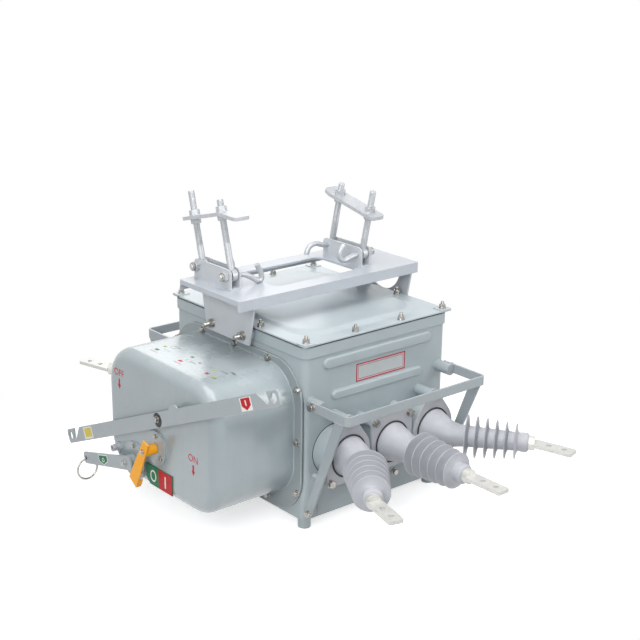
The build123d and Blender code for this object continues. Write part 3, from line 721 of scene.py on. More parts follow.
def raised(outlines: Array, heights: Array) -> Array:
    """Rows of a closed surface: each outline at its height, and a pole at the first and the last height."""
    columns = outlines.shape[1]
    rows = [at_height(outline, height)[None] for outline, height in zip(outlines, heights)]
    poles = [np.broadcast_to((0.0, 0.0, heights[row]), (1, columns, 3)) for row in (0, -1)]
    return np.concatenate((poles[0], *rows, poles[1]))


def shield_outline(width: float, height: float) -> Array:
    """Outline of a shield: flat top, straight sides, pointed foot."""
    return np.array([(-0.5, -0.12), (0, -0.5), (0.5, -0.12), (0.5, 0.5), (-0.5, 0.5)]) * (width, height)


def oval_outline(half_x: float, half_y: float, centre: Point = (0, 0), steps: int = 40) -> Array:
    """Outline of an oval: (a cos t, b sin t) round a centre."""
    angle = np.arange(steps) * TURN / steps
    return np.stack((half_x * np.cos(angle), half_y * np.sin(angle)), axis=1) + np.array(centre)


def belt_outline(circles: Sequence[tuple[float, float, float]]) -> Array:
    """Outline round circles of (x, y, radius), as a belt would run round them."""
    points = np.concatenate([oval_outline(r, r, (x, y)) for x, y, r in circles])
    return points[convex_hull_2d([tuple(point) for point in points])]


def smooth_path(corners: Sequence[Point], rounds: int = 4) -> Array:
    """A smooth path by corner cutting: each round puts points at 1/4 and 3/4 of every run."""
    path = np.array(corners, float)
    for _ in range(rounds):
        start, end = path[:-1], path[1:]
        cut = np.stack((start * 0.75 + end * 0.25, start * 0.25 + end * 0.75), axis=1).reshape(-1, 3)
        path = np.concatenate((path[:1], cut, path[-1:]))
    return path


# Fasteners


class Head(Enum):
    """What ends a fastener on the visible side."""

    BOLT = "bolt"
    STUD_AND_NUT = "stud and nut"


@dataclass
class Fastener:
    """A bolt head, or a nut on a threaded stud, over its washers."""

    thread: float = 4.0
    flats: float = 13.0
    height: float = 6.0
    head: Head = Head.BOLT
    stud: float = 0.0
    washer: float = 8.5
    washer_height: float = 1.6
    spring: bool = True
    pitch: float = 1.5
    coat: Coat = Coat.PLATED

    def add(self, shell: Shell, seat: Seat, turn: float = 0.0) -> None:
        """Put one on a seat.

        The hexagon's radius is (flats / 2) / cos(d), d being the angle to the nearest flat's middle,
        and its end is cut by a cone, so the corners are lower than the flats.

        Args:
            shell: what it is added to.
            seat: its seat, on the surface that it bears on.
            turn: its turn about its own axis, in degrees.
        """
        level = 0.0
        if self.washer:
            w, h = self.washer, self.washer_height
            shell.turned(seat, np.array([w - 0.3, w, w, w - 0.3]), np.array([-0.3, 0.0, h - 0.3, h]), self.coat)
            level += self.washer_height
        if self.spring:
            angle = np.arange(24) * TURN / 24
            rise = 0.5 * angle / TURN
            radius = np.full((4, 24), self.thread * 1.75)
            radius[0] -= 0.4
            radius[3] -= 0.4
            heights = level + np.stack((0 * rise - 0.2, 0 * rise, 1.3 + rise, 1.6 + rise))
            shell.turned(seat, radius, heights, self.coat)
            level += 1.8
        angle = np.arange(36) * TURN / 36
        away = np.abs((angle + math.radians(turn)) % (TURN / 6) - TURN / 12)
        hexagon = self.flats / 2 / np.cos(TURN / 12 - away)
        circle = self.flats / 2 * 1.02
        drop = (hexagon - self.flats / 2) * 0.58
        radii = np.stack((hexagon - 0.2, hexagon, hexagon, np.minimum(hexagon, circle), np.full(36, circle * 0.93)))
        top = level + self.height
        heights = np.stack((0 * drop + level - 0.2, 0 * drop + level + 0.1, top - 0.25 - drop,
                            0 * drop + top - 0.1, 0 * drop + top))
        shell.turned(seat, radii, heights, self.coat)
        if self.head is Head.STUD_AND_NUT:
            self.threaded(shell, seat, self.thread, top - 0.5, top + self.stud, self.pitch, self.coat)

    @staticmethod
    def threaded(shell: Shell, seat: Seat, radius: float, start: float, end: float, pitch: float, coat: Coat) -> None:
        """A threaded rod with a chamfered end.

        The radius at a height h and an angle a is R - d |2 frac(h / p - a / turn) - 1|, with depth d
        of 0.45 p, and it shrinks over the last pitch.
        """
        rows = max(int((end - start) / pitch * 5), 6)
        height = np.linspace(start, end, rows)[:, None]
        angle = (np.arange(18) * TURN / 18)[None, :]
        phase = (height / pitch - angle / TURN) % 1.0
        depth = 0.45 * pitch
        wall = radius - depth * np.abs(2 * phase - 1)
        wall = np.minimum(wall, radius - depth * 1.6 * np.clip(1 - (end - height) / pitch, 0, 1))
        shell.turned(seat, wall, np.broadcast_to(height, wall.shape), coat)


def scatter(number: int) -> float:
    """A turn in degrees that looks random but is the same each time."""
    return (number * 47.0 + number * number * 13.0) % 60.0


# Tank


@dataclass
class TankDress:
    """Pressed lid with its studs and corner tabs, pressed ribs, notice panel, wall bolts and weld beads."""

    half_length: float = 260.0
    half_width: float = 295.0
    lid_half_x: float = 267.0
    lid_half_y: float = 302.0
    lid_bottom: float = 528.0
    lid_sheet: float = 5.0
    lid_top: float = 542.0
    flange: float = 40.0
    shoulder: float = 26.0
    corner: float = 27.0
    panel_corner: float = 84.0
    stud_x: tuple[float, ...] = (-248.0, -76.0, 92.0, 253.0)
    stud_y: tuple[float, ...] = (-97.0, 97.0)
    stud_edge_x: float = 252.0
    stud_edge_y: float = 285.0
    ribs: tuple[tuple[float, float, float], ...] = ((396.0, 451.0, 485.0), (334.0, 358.0, 387.0))
    rib_rise: float = 8.4
    rib_draft: float = 7.0
    corner_zone: float = 200.0
    tab: tuple[float, float, float] = (38.0, 36.0, 3.0)
    tab_depth: float = 4.6
    tab_rise: float = 2.4
    label_x: tuple[float, float] = (-79.0, 102.0)
    label_z: tuple[float, float] = (391.0, 442.0)
    border: tuple[tuple[float, float], ...] = ((0.0, 3.2), (6.4, 1.2))
    wall_bolt_x: tuple[float, ...] = (-75.0, 75.0)
    wall_bolt_z: float = 84.0
    wall_corner: float = 20.0
    rim_bead_z: float = 491.6
    foot: tuple[float, float, float] = (236.0, 271.0, 29.2)
    foot_bead: float = 19.0
    stud: Fastener = field(default_factory=lambda: Fastener(5.0, 16.0, 8.0, Head.STUD_AND_NUT, 8.0, 10.5, 2.0))

    def build(self) -> None:
        """Make every piece."""
        self.press_lid()
        self.fit_studs()
        self.press_ribs()
        self.stick_label()
        self.weld()

    def press_lid(self) -> None:
        """The lid: a sheet whose middle is pressed up.

        Rows are outlines drawn in by d. The height rises from the flange to the panel by a smooth
        step 3t^2 - 2t^3 of t = (d - flange) / shoulder, then crowns by 1 mm towards the middle. The
        corner radius grows the same way, so the panel's corners are cut round the corner studs.
        """
        inset = np.concatenate(([3.0, 0.8, 0.0, 0.0, 0.8], np.linspace(3, self.flange, 5),
                                np.linspace(self.flange, self.flange + self.shoulder, 14)[1:],
                                np.linspace(self.flange + self.shoulder, 250, 12)[1:]))
        flat = self.lid_bottom + self.lid_sheet
        t = np.clip((inset - self.flange) / self.shoulder, 0, 1)
        step = t * t * (3 - 2 * t)
        crown = np.clip((inset - self.flange - self.shoulder) / 190, 0, 1)
        height = flat + step * (self.lid_top - flat - 1.0) + crown
        height[:5] = (self.lid_bottom, self.lid_bottom + 0.1, self.lid_bottom + 0.9, flat - 0.9, flat - 0.1)
        bend = np.clip(inset / self.flange, 0, 1)
        radius = self.corner - np.minimum(inset, 3) + (self.panel_corner - self.corner) * bend ** 2
        half_x, half_y = self.lid_half_x - inset, self.lid_half_y - inset
        radius = np.minimum(radius, np.minimum(half_x, half_y) - 0.5)
        shell = Shell()
        shell.grid(raised(rounded_outline(half_x, half_y, radius, 16), height), Coat.LID, ring=True)
        shell.finish("lid_pressing", stands_for=["lid"])

    def fit_studs(self) -> None:
        """Studs and nuts round the lid, with a square tab under each corner stud."""
        shell = Shell()
        places = [(x, side * self.stud_edge_y) for side in (-1, 1) for x in self.stud_x]
        places += [(side * self.stud_edge_x, y) for side in (-1, 1) for y in self.stud_y]
        flat = self.lid_bottom + self.lid_sheet
        for number, (x, y) in enumerate(places):
            level = flat
            if min(abs(x), abs(y)) > self.corner_zone:
                shell.prism(on_top(x, y, flat), box_outline(*self.tab), -self.tab_depth, self.tab_rise, Coat.LID, 0.6)
                level += self.tab_rise
            self.stud.add(shell, Seat((x, y, level), (0, 0, 1)), scatter(number))
        shell.finish("lid_studs", slot="steel")

    def press_ribs(self) -> None:
        """Two pressed ribs on each long side: outlines drawn in by d rise as (1 - (1 - t)^3), t = d / draft."""
        shell = Shell()
        for side in (-1, 1):
            for length, low, high in self.ribs:
                half = (high - low) / 2
                inset = np.concatenate(([0.0], np.linspace(0, self.rib_draft, 9), np.linspace(8, half - 1, 4)))
                t = np.clip(inset / self.rib_draft, 0, 1)
                height = self.rib_rise * (1 - (1 - t) ** 3) + 0.4 * np.clip((inset - 7) / half, 0, 1)
                height[0] = -1.0
                outline = rounded_outline(length / 2 - inset, half - inset, half - inset - 0.01, 12)
                seat = on_wall(side, 0.0, self.half_width, (low + high) / 2)
                shell.grid(seat.place(raised(outline, height)), Coat.TANK, ring=True)
        shell.finish("wall_ribs")

    def stick_label(self) -> None:
        """A bare notice panel with a double red border on the front wall, and two bolts on each long wall."""
        shell = Shell()
        (low_x, high_x), (low_z, high_z) = self.label_x, self.label_z
        seat = on_wall(-1, (low_x + high_x) / 2, self.half_width, (low_z + high_z) / 2)
        width, height = high_x - low_x, high_z - low_z
        shell.prism(seat, box_outline(width, height, 1.5), -0.5, 0.35, Coat.PALE_PRINT)
        for inset, bar in self.border:
            w, h = width - 2 * inset, height - 2 * inset
            for sign in (-1, 1):
                shell.prism(seat, box_outline(w, bar, 0, (0, sign * (h - bar) / 2)), 0.2, 0.6, Coat.RED_PRINT)
                shell.prism(seat, box_outline(bar, h, 0, (sign * (w - bar) / 2, 0)), 0.2, 0.6, Coat.RED_PRINT)
        shell.finish("notice_panel")
        shell = Shell()
        bolt = Fastener(5.0, 15.0, 7.0, washer=10.0)
        for side in (-1, 1):
            for number, x in enumerate(self.wall_bolt_x):
                bolt.add(shell, on_wall(side, x, self.half_width, self.wall_bolt_z), scatter(number + 5))
        shell.finish("wall_bolts", slot="steel")

    def weld(self) -> None:
        """Beads under the rim and round the feet."""
        shell = Shell()
        outline = rounded_outline(self.half_length + 0.3, self.half_width + 0.3, self.wall_corner, 8)[0]
        shell.bead(at_height(outline, self.rim_bead_z).tolist(), 1.5, Coat.TANK, True)
        x, y, z = self.foot
        for sx in (-1, 1):
            for sy in (-1, 1):
                shell.round_bead(Seat((sx * x, sy * y, z), (0, 0, 1)), self.foot_bead, 2.0, Coat.TANK)
        shell.finish("tank_welds")


# Bushings


@dataclass
class BushingSet:
    """The six shedded bushings, black rings of painted shade round their necks, clamp plates, plate bolts, posts, and
    black rings of painted shade where the drums meet the wall.
    """

    pitch: float = 157.0
    height: float = 218.0
    wall: float = 295.0
    drum_end: float = 353.0
    plate: float = 8.0
    straight: float = 20.0
    bend_radius: float = 118.0
    turn: float = 36.0
    neck_base: float = 57.0
    neck_end: float = 31.0
    first_shed: float = 17.0
    shed_pitch: float = 27.2
    sheds: int = 6
    shed_radii: tuple[float, float] = (61.0, 50.0)
    core_radii: tuple[float, float] = (30.0, 26.0)
    head_radius: float = 27.0
    head_length: float = 21.0
    length: float = 187.5
    bolt_square: float = 64.0
    lobe: float = 99.0
    post_radii: tuple[float, float] = (9.0, 15.0)
    drum_shade_ring: float = 72.4

    def build(self) -> None:
        """Make every piece of both sides."""
        for side_name, side in SIDES:
            for phase_name, phase in (("left", -1), ("middle", 0), ("right", 1)):
                node = f"bushing_{side_name}_{phase_name}"
                shell = Shell()
                shell.grid(self.surface(side, phase), Coat.RESIN, ring=True)
                shell.finish(f"sheds_{side_name}_{phase_name}", slot="resin", stands_for=[node])
            self.fit_neck_shade_rings(side_name, side)
            self.cut_plates(side_name, side)
            self.fit_bolts(side_name, side)

    def profile(self) -> tuple[Array, Array]:
        """Distance along the axis and radius of every row.

        The neck's radius falls from base to end as (1 - t)^1.2. A shed of outer radius b on a core
        of radius c has, at a share q of its height, a half thickness of 1 + 4.6 (1 - q)^2.4, and its
        tip leans 1.5 mm towards the tank. The head is an arc on a short cylinder.

        Returns:
            Arrays of stations and radii, from the clamp plate outwards.
        """
        start = self.plate + self.straight + self.bend_radius * math.radians(self.turn)
        t = np.linspace(0, 1, 26)
        stations = [np.array([0.0]), self.plate - 2 + (start + 3 - self.plate) * t]
        radii = [np.array([self.neck_base]), self.neck_end + (self.neck_base - self.neck_end) * (1 - t) ** 1.2]
        up = np.linspace(0, 1, 9)
        for number in range(self.sheds):
            share = number / (self.sheds - 1)
            core = self.core_radii[0] + (self.core_radii[1] - self.core_radii[0]) * share
            outer = self.shed_radii[0] + (self.shed_radii[1] - self.shed_radii[0]) * share
            middle = start + self.first_shed + number * self.shed_pitch
            half = 1.0 + 4.6 * (1 - up) ** 2.4
            lean = -1.5 * up ** 2
            rise = core + (outer - 0.8 - core) * up
            tip = np.array([outer])
            stations += [middle + lean - half, np.array([middle - 1.5]), (middle + lean + half)[::-1]]
            radii += [rise, tip, rise[::-1]]
        head = start + self.length - self.head_length
        arc = np.linspace(0, math.pi / 2, 9)
        soft = 8.0
        stations += [np.array([head - 5, head - 2, head, head + 4]),
                     head + self.head_length - soft + soft * np.sin(arc)]
        radii += [np.array([26.0, 26.1, 26.7, self.head_radius]), self.head_radius - soft + soft * np.cos(arc)]
        return np.concatenate(stations), np.concatenate(radii)

    def surface(self, side: int, phase: int, columns: int = 72) -> Array:
        """The bushing's surface: rings of the profile carried along its bent axis.

        With a = 0 at the plate and s the distance past the straight root, the axis runs straight,
        then along an arc of the bend radius R, (R (1 - cos a), R sin a) with a = s / R, then straight
        at the full turn. A ring is c + r (cos b z + sin b w), w being square to the axis and to z.

        Args:
            side: -1 for the front row, 1 for the back row.
            phase: -1, 0 or 1 along the tank.
            columns: points round the bushing.

        Returns:
            Points of the closed surface.
        """
        stations, radii = self.profile()
        root = self.plate + self.straight
        full = math.radians(self.turn) * abs(phase)
        angle = np.clip((stations - root) / self.bend_radius, 0, full)
        beyond = stations - root - angle * self.bend_radius
        beyond = np.where(stations < root, 0, beyond)
        run = np.minimum(stations, root) + self.bend_radius * np.sin(angle) + beyond * np.cos(angle)
        sideways = phase * (self.pitch + self.bend_radius * (1 - np.cos(angle)) + beyond * np.sin(angle))
        centre = np.stack((sideways, side * (self.drum_end + run), np.full(len(run), self.height)), axis=1)
        way = np.stack((phase * np.sin(angle), side * np.cos(angle), 0 * angle), axis=1)
        beside = np.cross(way, (0, 0, 1))
        around = (np.arange(columns) * TURN / columns)[None, :, None]
        rings = centre[:, None] + radii[:, None, None] * (np.cos(around) * np.array((0, 0, 1.0))
                                                          + np.sin(around) * beside[:, None])
        ends = np.broadcast_to(centre[[0, -1]][:, None], (2, columns, 3))
        return np.concatenate((ends[:1], rings, ends[1:]))

    def fit_neck_shade_rings(self, side_name: str, side: int) -> None:
        """A black ring round each neck where it leaves the plate, as painted shade for the dark gap between the
        plate's bore and the neck.
        """
        shell = Shell()
        ring = at_height(oval_outline(1.0, 1.0, steps=64), 0.0)
        for phase in (-1, 0, 1):
            seat = on_wall(side, phase * self.pitch, self.drum_end + self.plate + 0.8, self.height)
            # Painted shade: a black ring in the gap round the neck
            shell.tube(seat.place(ring * (self.neck_base + 1.6)), 2.2, Coat.GASKET, 10, True)
        shell.finish(f"neck_painted_shade_{side_name}", slot="rubber")

    def cut_plates(self, side_name: str, side: int) -> None:
        """The clamp plates: the middle one is square, the outer ones have a lobe for a bolt on top."""
        shell = Shell()
        foot = [(-53.0, -53.0, 22.0), (53.0, -53.0, 22.0)]
        for phase in (-1, 0, 1):
            top = [(0.0, 0.0, 77.0), (0.0, self.lobe, 18.0)] if phase else [(-56.0, 66.0, 19.0), (56.0, 66.0, 19.0)]
            seat = on_wall(side, phase * self.pitch, self.drum_end, self.height)
            shell.prism(seat, belt_outline(foot + top), 0.0, self.plate, Coat.CLAMP_PLATE, 1.2)
        shell.finish(f"plate_set_{side_name}", stands_for=[f"clamp_plates_{side_name}"])

    def fit_bolts(self, side_name: str, side: int) -> None:
        """Bolts of the clamp plates, the posts behind them, and a black ring of painted shade in the crease where each
        drum meets the wall.
        """
        face = self.drum_end + self.plate
        reach = self.bolt_square
        thin, thick = self.post_radii
        places = [(phase * self.pitch + dx, -reach, thin) for phase in (-1, 0, 1) for dx in (-reach, reach)]
        places += [(-reach, reach + 6, thick), (reach, reach + 6, thick)]
        places += [(-self.pitch, self.lobe, thick), (self.pitch, self.lobe, thick)]
        bolts, posts = Shell(), Shell()
        bolt = Fastener(6.0, 18.0, 8.0, washer=11.5)
        length = self.drum_end - self.wall
        for number, (x, dz, radius) in enumerate(places):
            bolt.add(bolts, on_wall(side, x, face, self.height + dz), scatter(number))
            posts.turned(on_wall(side, x, self.wall, self.height + dz), np.full(3, radius),
                         np.array([-1.0, length / 2, length]), Coat.TANK)
        for phase in (-1, 0, 1):
            seat = on_wall(side, phase * self.pitch, self.wall + 0.3, self.height)
            # Painted shade: a black ring in the crease at each drum's foot
            posts.round_bead(seat, self.drum_shade_ring, 1.1, Coat.GASKET)
        bolts.finish(f"plate_bolts_{side_name}", slot="steel")
        posts.finish(f"plate_posts_and_drum_shade_{side_name}")


# Guards


@dataclass
class GuardDress:
    """Bolts on the guard's arms and strut feet, and the beads where bars meet."""

    half_length: float = 256.0
    wall: float = 295.0
    reach: float = 462.0
    top: float = 382.0
    bar: float = 26.0
    arm_bolt_y: float = 324.0
    foot_bolt: tuple[float, float] = (313.0, 58.0)
    strut_x: float = 214.0
    strut_z: tuple[float, float] = (38.0, 66.0)
    standoff_x: float = 237.0
    standoff_bead: float = 16.4

    def build(self) -> None:
        """Make the pieces of both sides."""
        for side_name, side in SIDES:
            shell = Shell()
            arm = Fastener(6.0, 18.0, 8.0, washer=12.0)
            foot = Fastener(5.0, 16.0, 7.0, washer=10.0)
            bolts = ((arm, self.arm_bolt_y, self.top - self.bar / 2), (foot, *self.foot_bolt))
            for end in (-1, 1):
                for number, (tool, y, z) in enumerate(bolts):
                    seat = Seat((end * self.half_length, side * y, z), (end, 0, 0), (0, 1, 0))
                    tool.add(shell, seat, scatter(number + 3 * end))
            shell.finish(f"guard_bolts_{side_name}", slot="steel")
            shell = Shell()
            for end in (-1, 1):
                x, z = end * (self.half_length - 3), self.top - self.bar
                for dx in (-3.4, 3.4):
                    shell.bead([(x + dx, side * (self.reach - 50), z), (x + dx, side * (self.reach - 15), z)],
                               1.8, Coat.FITTING)
                strut = [(end * self.strut_x, side * (self.wall + 6), level) for level in self.strut_z]
                shell.bead(strut, 1.6, Coat.FITTING)
                seat = on_wall(side, end * self.standoff_x, self.wall + 0.6, self.top - self.bar / 2)
                shell.round_bead(seat, self.standoff_bead, 1.8, Coat.TANK)
            shell.finish(f"guard_welds_{side_name}")


# Mechanism cover


# Colour chips on the cover's top: x and y of the middle, length, width and finish
CHIPS = (
    (-451, 109, 10, 16, Coat.GREEN_PRINT), (-420, 117, 9, 12, Coat.LIME_PRINT),
    (-398, 88, 2, 30, Coat.DARK_PRINT), (-434, 84, 2, 34, Coat.PALE_PRINT),
    (-466, 104, 1.6, 34, Coat.RED_PRINT), (-453, -6, 9, 15, Coat.RED_PRINT),
    (-411, -3, 8, 11, Coat.GREEN_PRINT), (-423, -53, 7, 9, Coat.DARK_PRINT),
    (-468, -12, 1.8, 34, Coat.RED_PRINT), (-392, -20, 2, 40, Coat.PALE_PRINT),
    (-436, -40, 1.8, 26, Coat.DARK_PRINT), (-454, -129, 9, 13, Coat.RED_PRINT),
    (-458, -165, 9, 14, Coat.LIME_PRINT), (-427, -121, 7, 11, Coat.LIME_PRINT),
    (-399, -172, 2.4, 18, Coat.DARK_PRINT), (-472, -140, 1.8, 30, Coat.PALE_PRINT),
    (-414, -150, 2, 30, Coat.DARK_PRINT),
)
# Pale ovals among them: x and y of the middle
OVALS = ((-405.0, 96.0), (-436.0, -22.0), (-436.0, -146.0))
# An arrow that points down, drawn round its middle
ARROW = ((0, -15), (8, -2), (3.5, -2), (3.5, 15), (-3.5, 15), (-3.5, -2), (-8, -2))


@dataclass
class CoverDress:
    """Flange bolts, gasket, a painted highlight along the flange's edge, bearing screws, print and indicator faces of
    the mechanism cover.
    """

    face: float = -524.0
    flange_face: float = -266.0
    top: float = 453.0
    flange_half: float = 291.0
    flange_low: float = 36.0
    flange_high: float = 473.0
    flange_corner: float = 112.0
    side_bolts: tuple[float, tuple[float, ...]] = (276.0, (108.0, 256.0, 406.0))
    row_bolts: tuple[tuple[float, ...], tuple[float, ...]] = ((-150.0, 0.0, 150.0), (58.0, 463.0))
    body_low: float = 80.0
    body_height: float = 373.0
    body_half: float = 260.4
    body_corner: float = 108.0
    indicator_y: tuple[float, float] = (62.0, -64.0)
    indicator_z: tuple[float, float] = (97.0, 154.0)
    indicator_split: float = 0.0
    pointer_at: tuple[float, float] = (10.0, 214.0)
    winding_at: tuple[float, float] = (121.0, 140.0)

    def build(self) -> None:
        """Make every piece."""
        self.bolt_flange()
        self.screw_bearings()
        self.print_marks()
        self.paint_indicator()

    def bolt_flange(self) -> None:
        """Bolts round the flange, its gasket, a pale cord along its edge as a painted highlight, and the weld between
        cover and flange.
        """
        shell = Shell()
        bolt = Fastener(5.0, 15.0, 7.0, washer=9.5)
        side_y, side_levels = self.side_bolts
        row_y, row_levels = self.row_bolts
        places = [(side * side_y, z) for side in (-1, 1) for z in side_levels]
        places += [(y, z) for y in row_y for z in row_levels]
        for number, (y, z) in enumerate(places):
            bolt.add(shell, on_face(self.flange_face, y, z), scatter(number))
        shell.finish("flange_bolts", slot="steel")
        shell = Shell()
        middle = (self.flange_low + self.flange_high) / 2
        half = (self.flange_high - self.flange_low) / 2
        seat = on_face(self.flange_face + 6.2, 0.0, middle)
        outline = rounded_outline(self.flange_half - 0.7, half - 0.7, self.flange_corner, 16)[0]
        shell.tube(seat.place(at_height(outline, 0.0)), 1.1, Coat.GASKET, 8, True)
        shell.finish("flange_gasket", slot="rubber")
        shell = Shell()
        # Painted highlight: a pale cord along the flange's outer edge
        shell.tube(seat.place(at_height(outline, 5.6)), 1.0, Coat.PALE_PRINT, 8, True)
        shell.finish("flange_edge_painted_highlight")
        shell = Shell()
        seat = on_face(self.flange_face, 0.0, self.body_low + self.body_height / 2)
        outline = rounded_outline(self.body_half, self.body_height / 2 + 0.4, self.body_corner, 24)[0]
        shell.bead(seat.place(at_height(outline, 0.0)).tolist(), 2.2, Coat.COVER, True)
        shell.finish("cover_weld")

    def screw_bearings(self) -> None:
        """Three screws in each bearing flange, a third of a turn apart, and a bead round each flange."""
        shell = Shell()
        screw = Fastener(3.5, 11.0, 5.0, washer=7.5, washer_height=1.2, spring=False)
        for (y, z), radius, first in ((self.pointer_at, 36.0, 96.0), (self.winding_at, 43.0, 92.0)):
            for number in range(3):
                angle = math.radians(first + 120 * number)
                place = (y + radius * math.cos(angle), z + radius * math.sin(angle))
                screw.add(shell, on_face(self.face - 6, *place), scatter(number))
        for (y, z), radius in ((self.pointer_at, 50.0), (self.winding_at, 54.0)):
            shell.round_bead(on_face(self.face - 0.4, y, z), radius + 0.3, 1.1, Coat.COVER)
        shell.finish("bearing_screws", slot="steel")

    def print_marks(self) -> None:
        """Red arrows with ON and OFF on the face, and small colour chips on the top."""
        shell = Shell()
        for y, z, words in ((192.0, 345.0, "OFF"), (-161.0, 207.0, "ON")):
            shell.prism(on_face(self.face, y, z), np.array(ARROW, float), -0.5, 0.3, Coat.RED_PRINT)
            shell.letters(on_face(self.face, y, z + 32), words, 20.0, Coat.RED_PRINT)
        for x, y, length, width, coat in CHIPS:
            shell.prism(on_top(x, y, self.top), box_outline(length, width), -0.5, 0.2, coat)
        for x, y in OVALS:
            loops = [oval_outline(9.0, 14.0), oval_outline(7.6, 12.6)]
            shell.pierced(on_top(x, y, self.top), loops, -0.5, 0.3, Coat.PALE_PRINT)
        shell.finish("cover_print")

    def paint_indicator(self) -> None:
        """Green half with a ring and red half with a bar on the indicator plate."""
        (high_y, low_y), (low_z, high_z) = self.indicator_y, self.indicator_z
        split, height, middle = self.indicator_split, high_z - low_z, (low_z + high_z) / 2
        shell = Shell()
        left, right = -(high_y - split), split - low_y
        seat = on_face(self.face - 3, split, middle)
        green = np.array([(left, height / 2), (left, 16 - height / 2), (left + 20, -height / 2), (0, -height / 2),
                          (0, height / 2)])
        shell.prism(seat, green, -0.5, 0.5, Coat.GREEN)
        shell.prism(seat, box_outline(right, height, 0, (right / 2, 0)), -0.5, 0.5, Coat.RED)
        shell.prism(seat, box_outline(5.5, 34, 1, (right / 2, 0)), 0.3, 0.8, Coat.WHITE_PRINT)
        angle = np.arange(48) * TURN / 48
        ring = np.stack([np.stack((r * 0.82 * np.cos(angle), r * np.sin(angle), 0 * angle + h), axis=1)
                         for r, h in ((17.5, 0.3), (17.5, 0.8), (12.5, 0.8), (12.5, 0.3))])
        ring[..., 0] += left * 0.42
        shell.grid(seat.place(ring), Coat.WHITE_PRINT, ring=True, loop=True)
        shell.finish("indicator_faces", slot="indicator")


# Lever, winding handle and pointer


@dataclass
class LeverDress:
    """The operating lever with a slot and an eye at each end, its bolt and its stickers."""

    face: float = -548.0
    pivot: tuple[float, float] = (-33.0, 314.0)
    tilt: float = 23.2
    half_height: float = 21.0
    hole: float = 20.4
    sheet: float = 6.0
    doubler: tuple[float, float, float] = (104.0, 38.0, 10.0)

    def build(self) -> None:
        """Make every piece."""
        view = on_face(self.face, *self.pivot, self.tilt)
        self.cut_lever(view)
        shell = Shell()
        journal = on_face(self.face + 2, self.pivot[0] + 4, self.pivot[1] + 1)
        Fastener(5.0, 14.0, 5.0, washer=9.5, washer_height=1.4).add(shell, journal, 12.0)
        shell.finish("lever_bolt", slot="steel")
        shell = Shell()
        shell.prism(view, box_outline(52, 35, 1.5, (-399, 0)), -0.4, 0.3, Coat.WHITE_PRINT)
        shell.prism(view, box_outline(40, 26, 2, (-398, 1)), 0.1, 0.5, Coat.YELLOW_PRINT)
        shell.prism(view, box_outline(48, 34, 1.5, (424, 0)), -0.4, 0.3, Coat.WHITE_PRINT)
        shell.prism(view, shield_outline(39, 31) + (424, 0), 0.1, 0.5, Coat.RED)
        shell.prism(view, box_outline(4.5, 14, 0.5, (424, 3)), 0.2, 0.7, Coat.WHITE_PRINT)
        shell.finish("lever_stickers", "lever")

    def cut_lever(self, view: Seat) -> None:
        """The bar, cut from sheet, with a short plate behind the journal's hole."""
        top = self.half_height
        outline = np.array([
            (-519, -top), (553, -top), (560, -17), (562, -10), (562, 12), (560, 18), (555, top), (516, top),
            (520, -3), (518, -8), (513, -10), (508, -8), (474, top), (107, top), (104, 28), (97, 31), (80, 31),
            (72, 28), (66, top), (-447, top), (-477, -9), (-482, -13), (-487, -12), (-490, -8), (-484, top),
            (-519, top), (-523, 18), (-525, 12), (-525, -12), (-523, -18),
        ], float)
        journal = oval_outline(self.hole, self.hole)
        shell = Shell()
        shell.pierced(view, [outline, journal, oval_outline(13.0, 13.5, (540, 2)),
                             oval_outline(11.0, 12.5, (-509, 1))], -self.sheet, 0.0, Coat.FITTING)
        shell.pierced(view, [box_outline(*self.doubler), journal], -2 * self.sheet, -self.sheet, Coat.FITTING)
        for end in (-self.doubler[0] / 2, self.doubler[0] / 2):
            corners = view.place(np.array([(end, -14.0, -self.sheet), (end, 14.0, -self.sheet)]))
            shell.bead(corners.tolist(), 1.6, Coat.FITTING)
        shell.finish("lever_bar", "lever", stands_for=["operating_lever"])


@dataclass
class HandleDress:
    """Bolt and sticker of the winding handle."""

    face: float = -560.0
    pivot: tuple[float, float] = (121.0, 140.0)
    tilt: float = -15.2
    sticker: tuple[float, float] = (117.0, 0.0)

    def build(self) -> None:
        """Make every piece."""
        view = on_face(self.face, *self.pivot, 180 - self.tilt)
        shell = Shell()
        shell.prism(view, shield_outline(50, 30) * (1, -1) + self.sticker, -0.4, 0.3, Coat.WHITE_PRINT)
        shell.prism(view, shield_outline(44, 25) * (1, -1) + self.sticker, 0.1, 0.5, Coat.GREEN)
        ring = [oval_outline(radius, radius, self.sticker) for radius in (6.5, 4.0)]
        shell.pierced(view, ring, 0.2, 0.7, Coat.WHITE_PRINT)
        shell.finish("handle_sticker", "handle")
        shell = Shell()
        Fastener(5.0, 12.0, 5.0, washer=8.5).add(shell, on_face(self.face - 0.3, *self.pivot), 20.0)
        shell.finish("handle_bolt", "handle", "steel")


@dataclass
class PointerDress:
    """Bolt in the pointer's hub."""

    face: float = -570.0
    pivot: tuple[float, float] = (10.0, 214.0)

    def build(self) -> None:
        """Make the bolt."""
        shell = Shell()
        Fastener(4.0, 10.5, 5.0, washer=7.5).add(shell, on_face(self.face, *self.pivot), 8.0)
        shell.finish("pointer_bolt", "pointer", "steel")


# Hanging frame and clamps


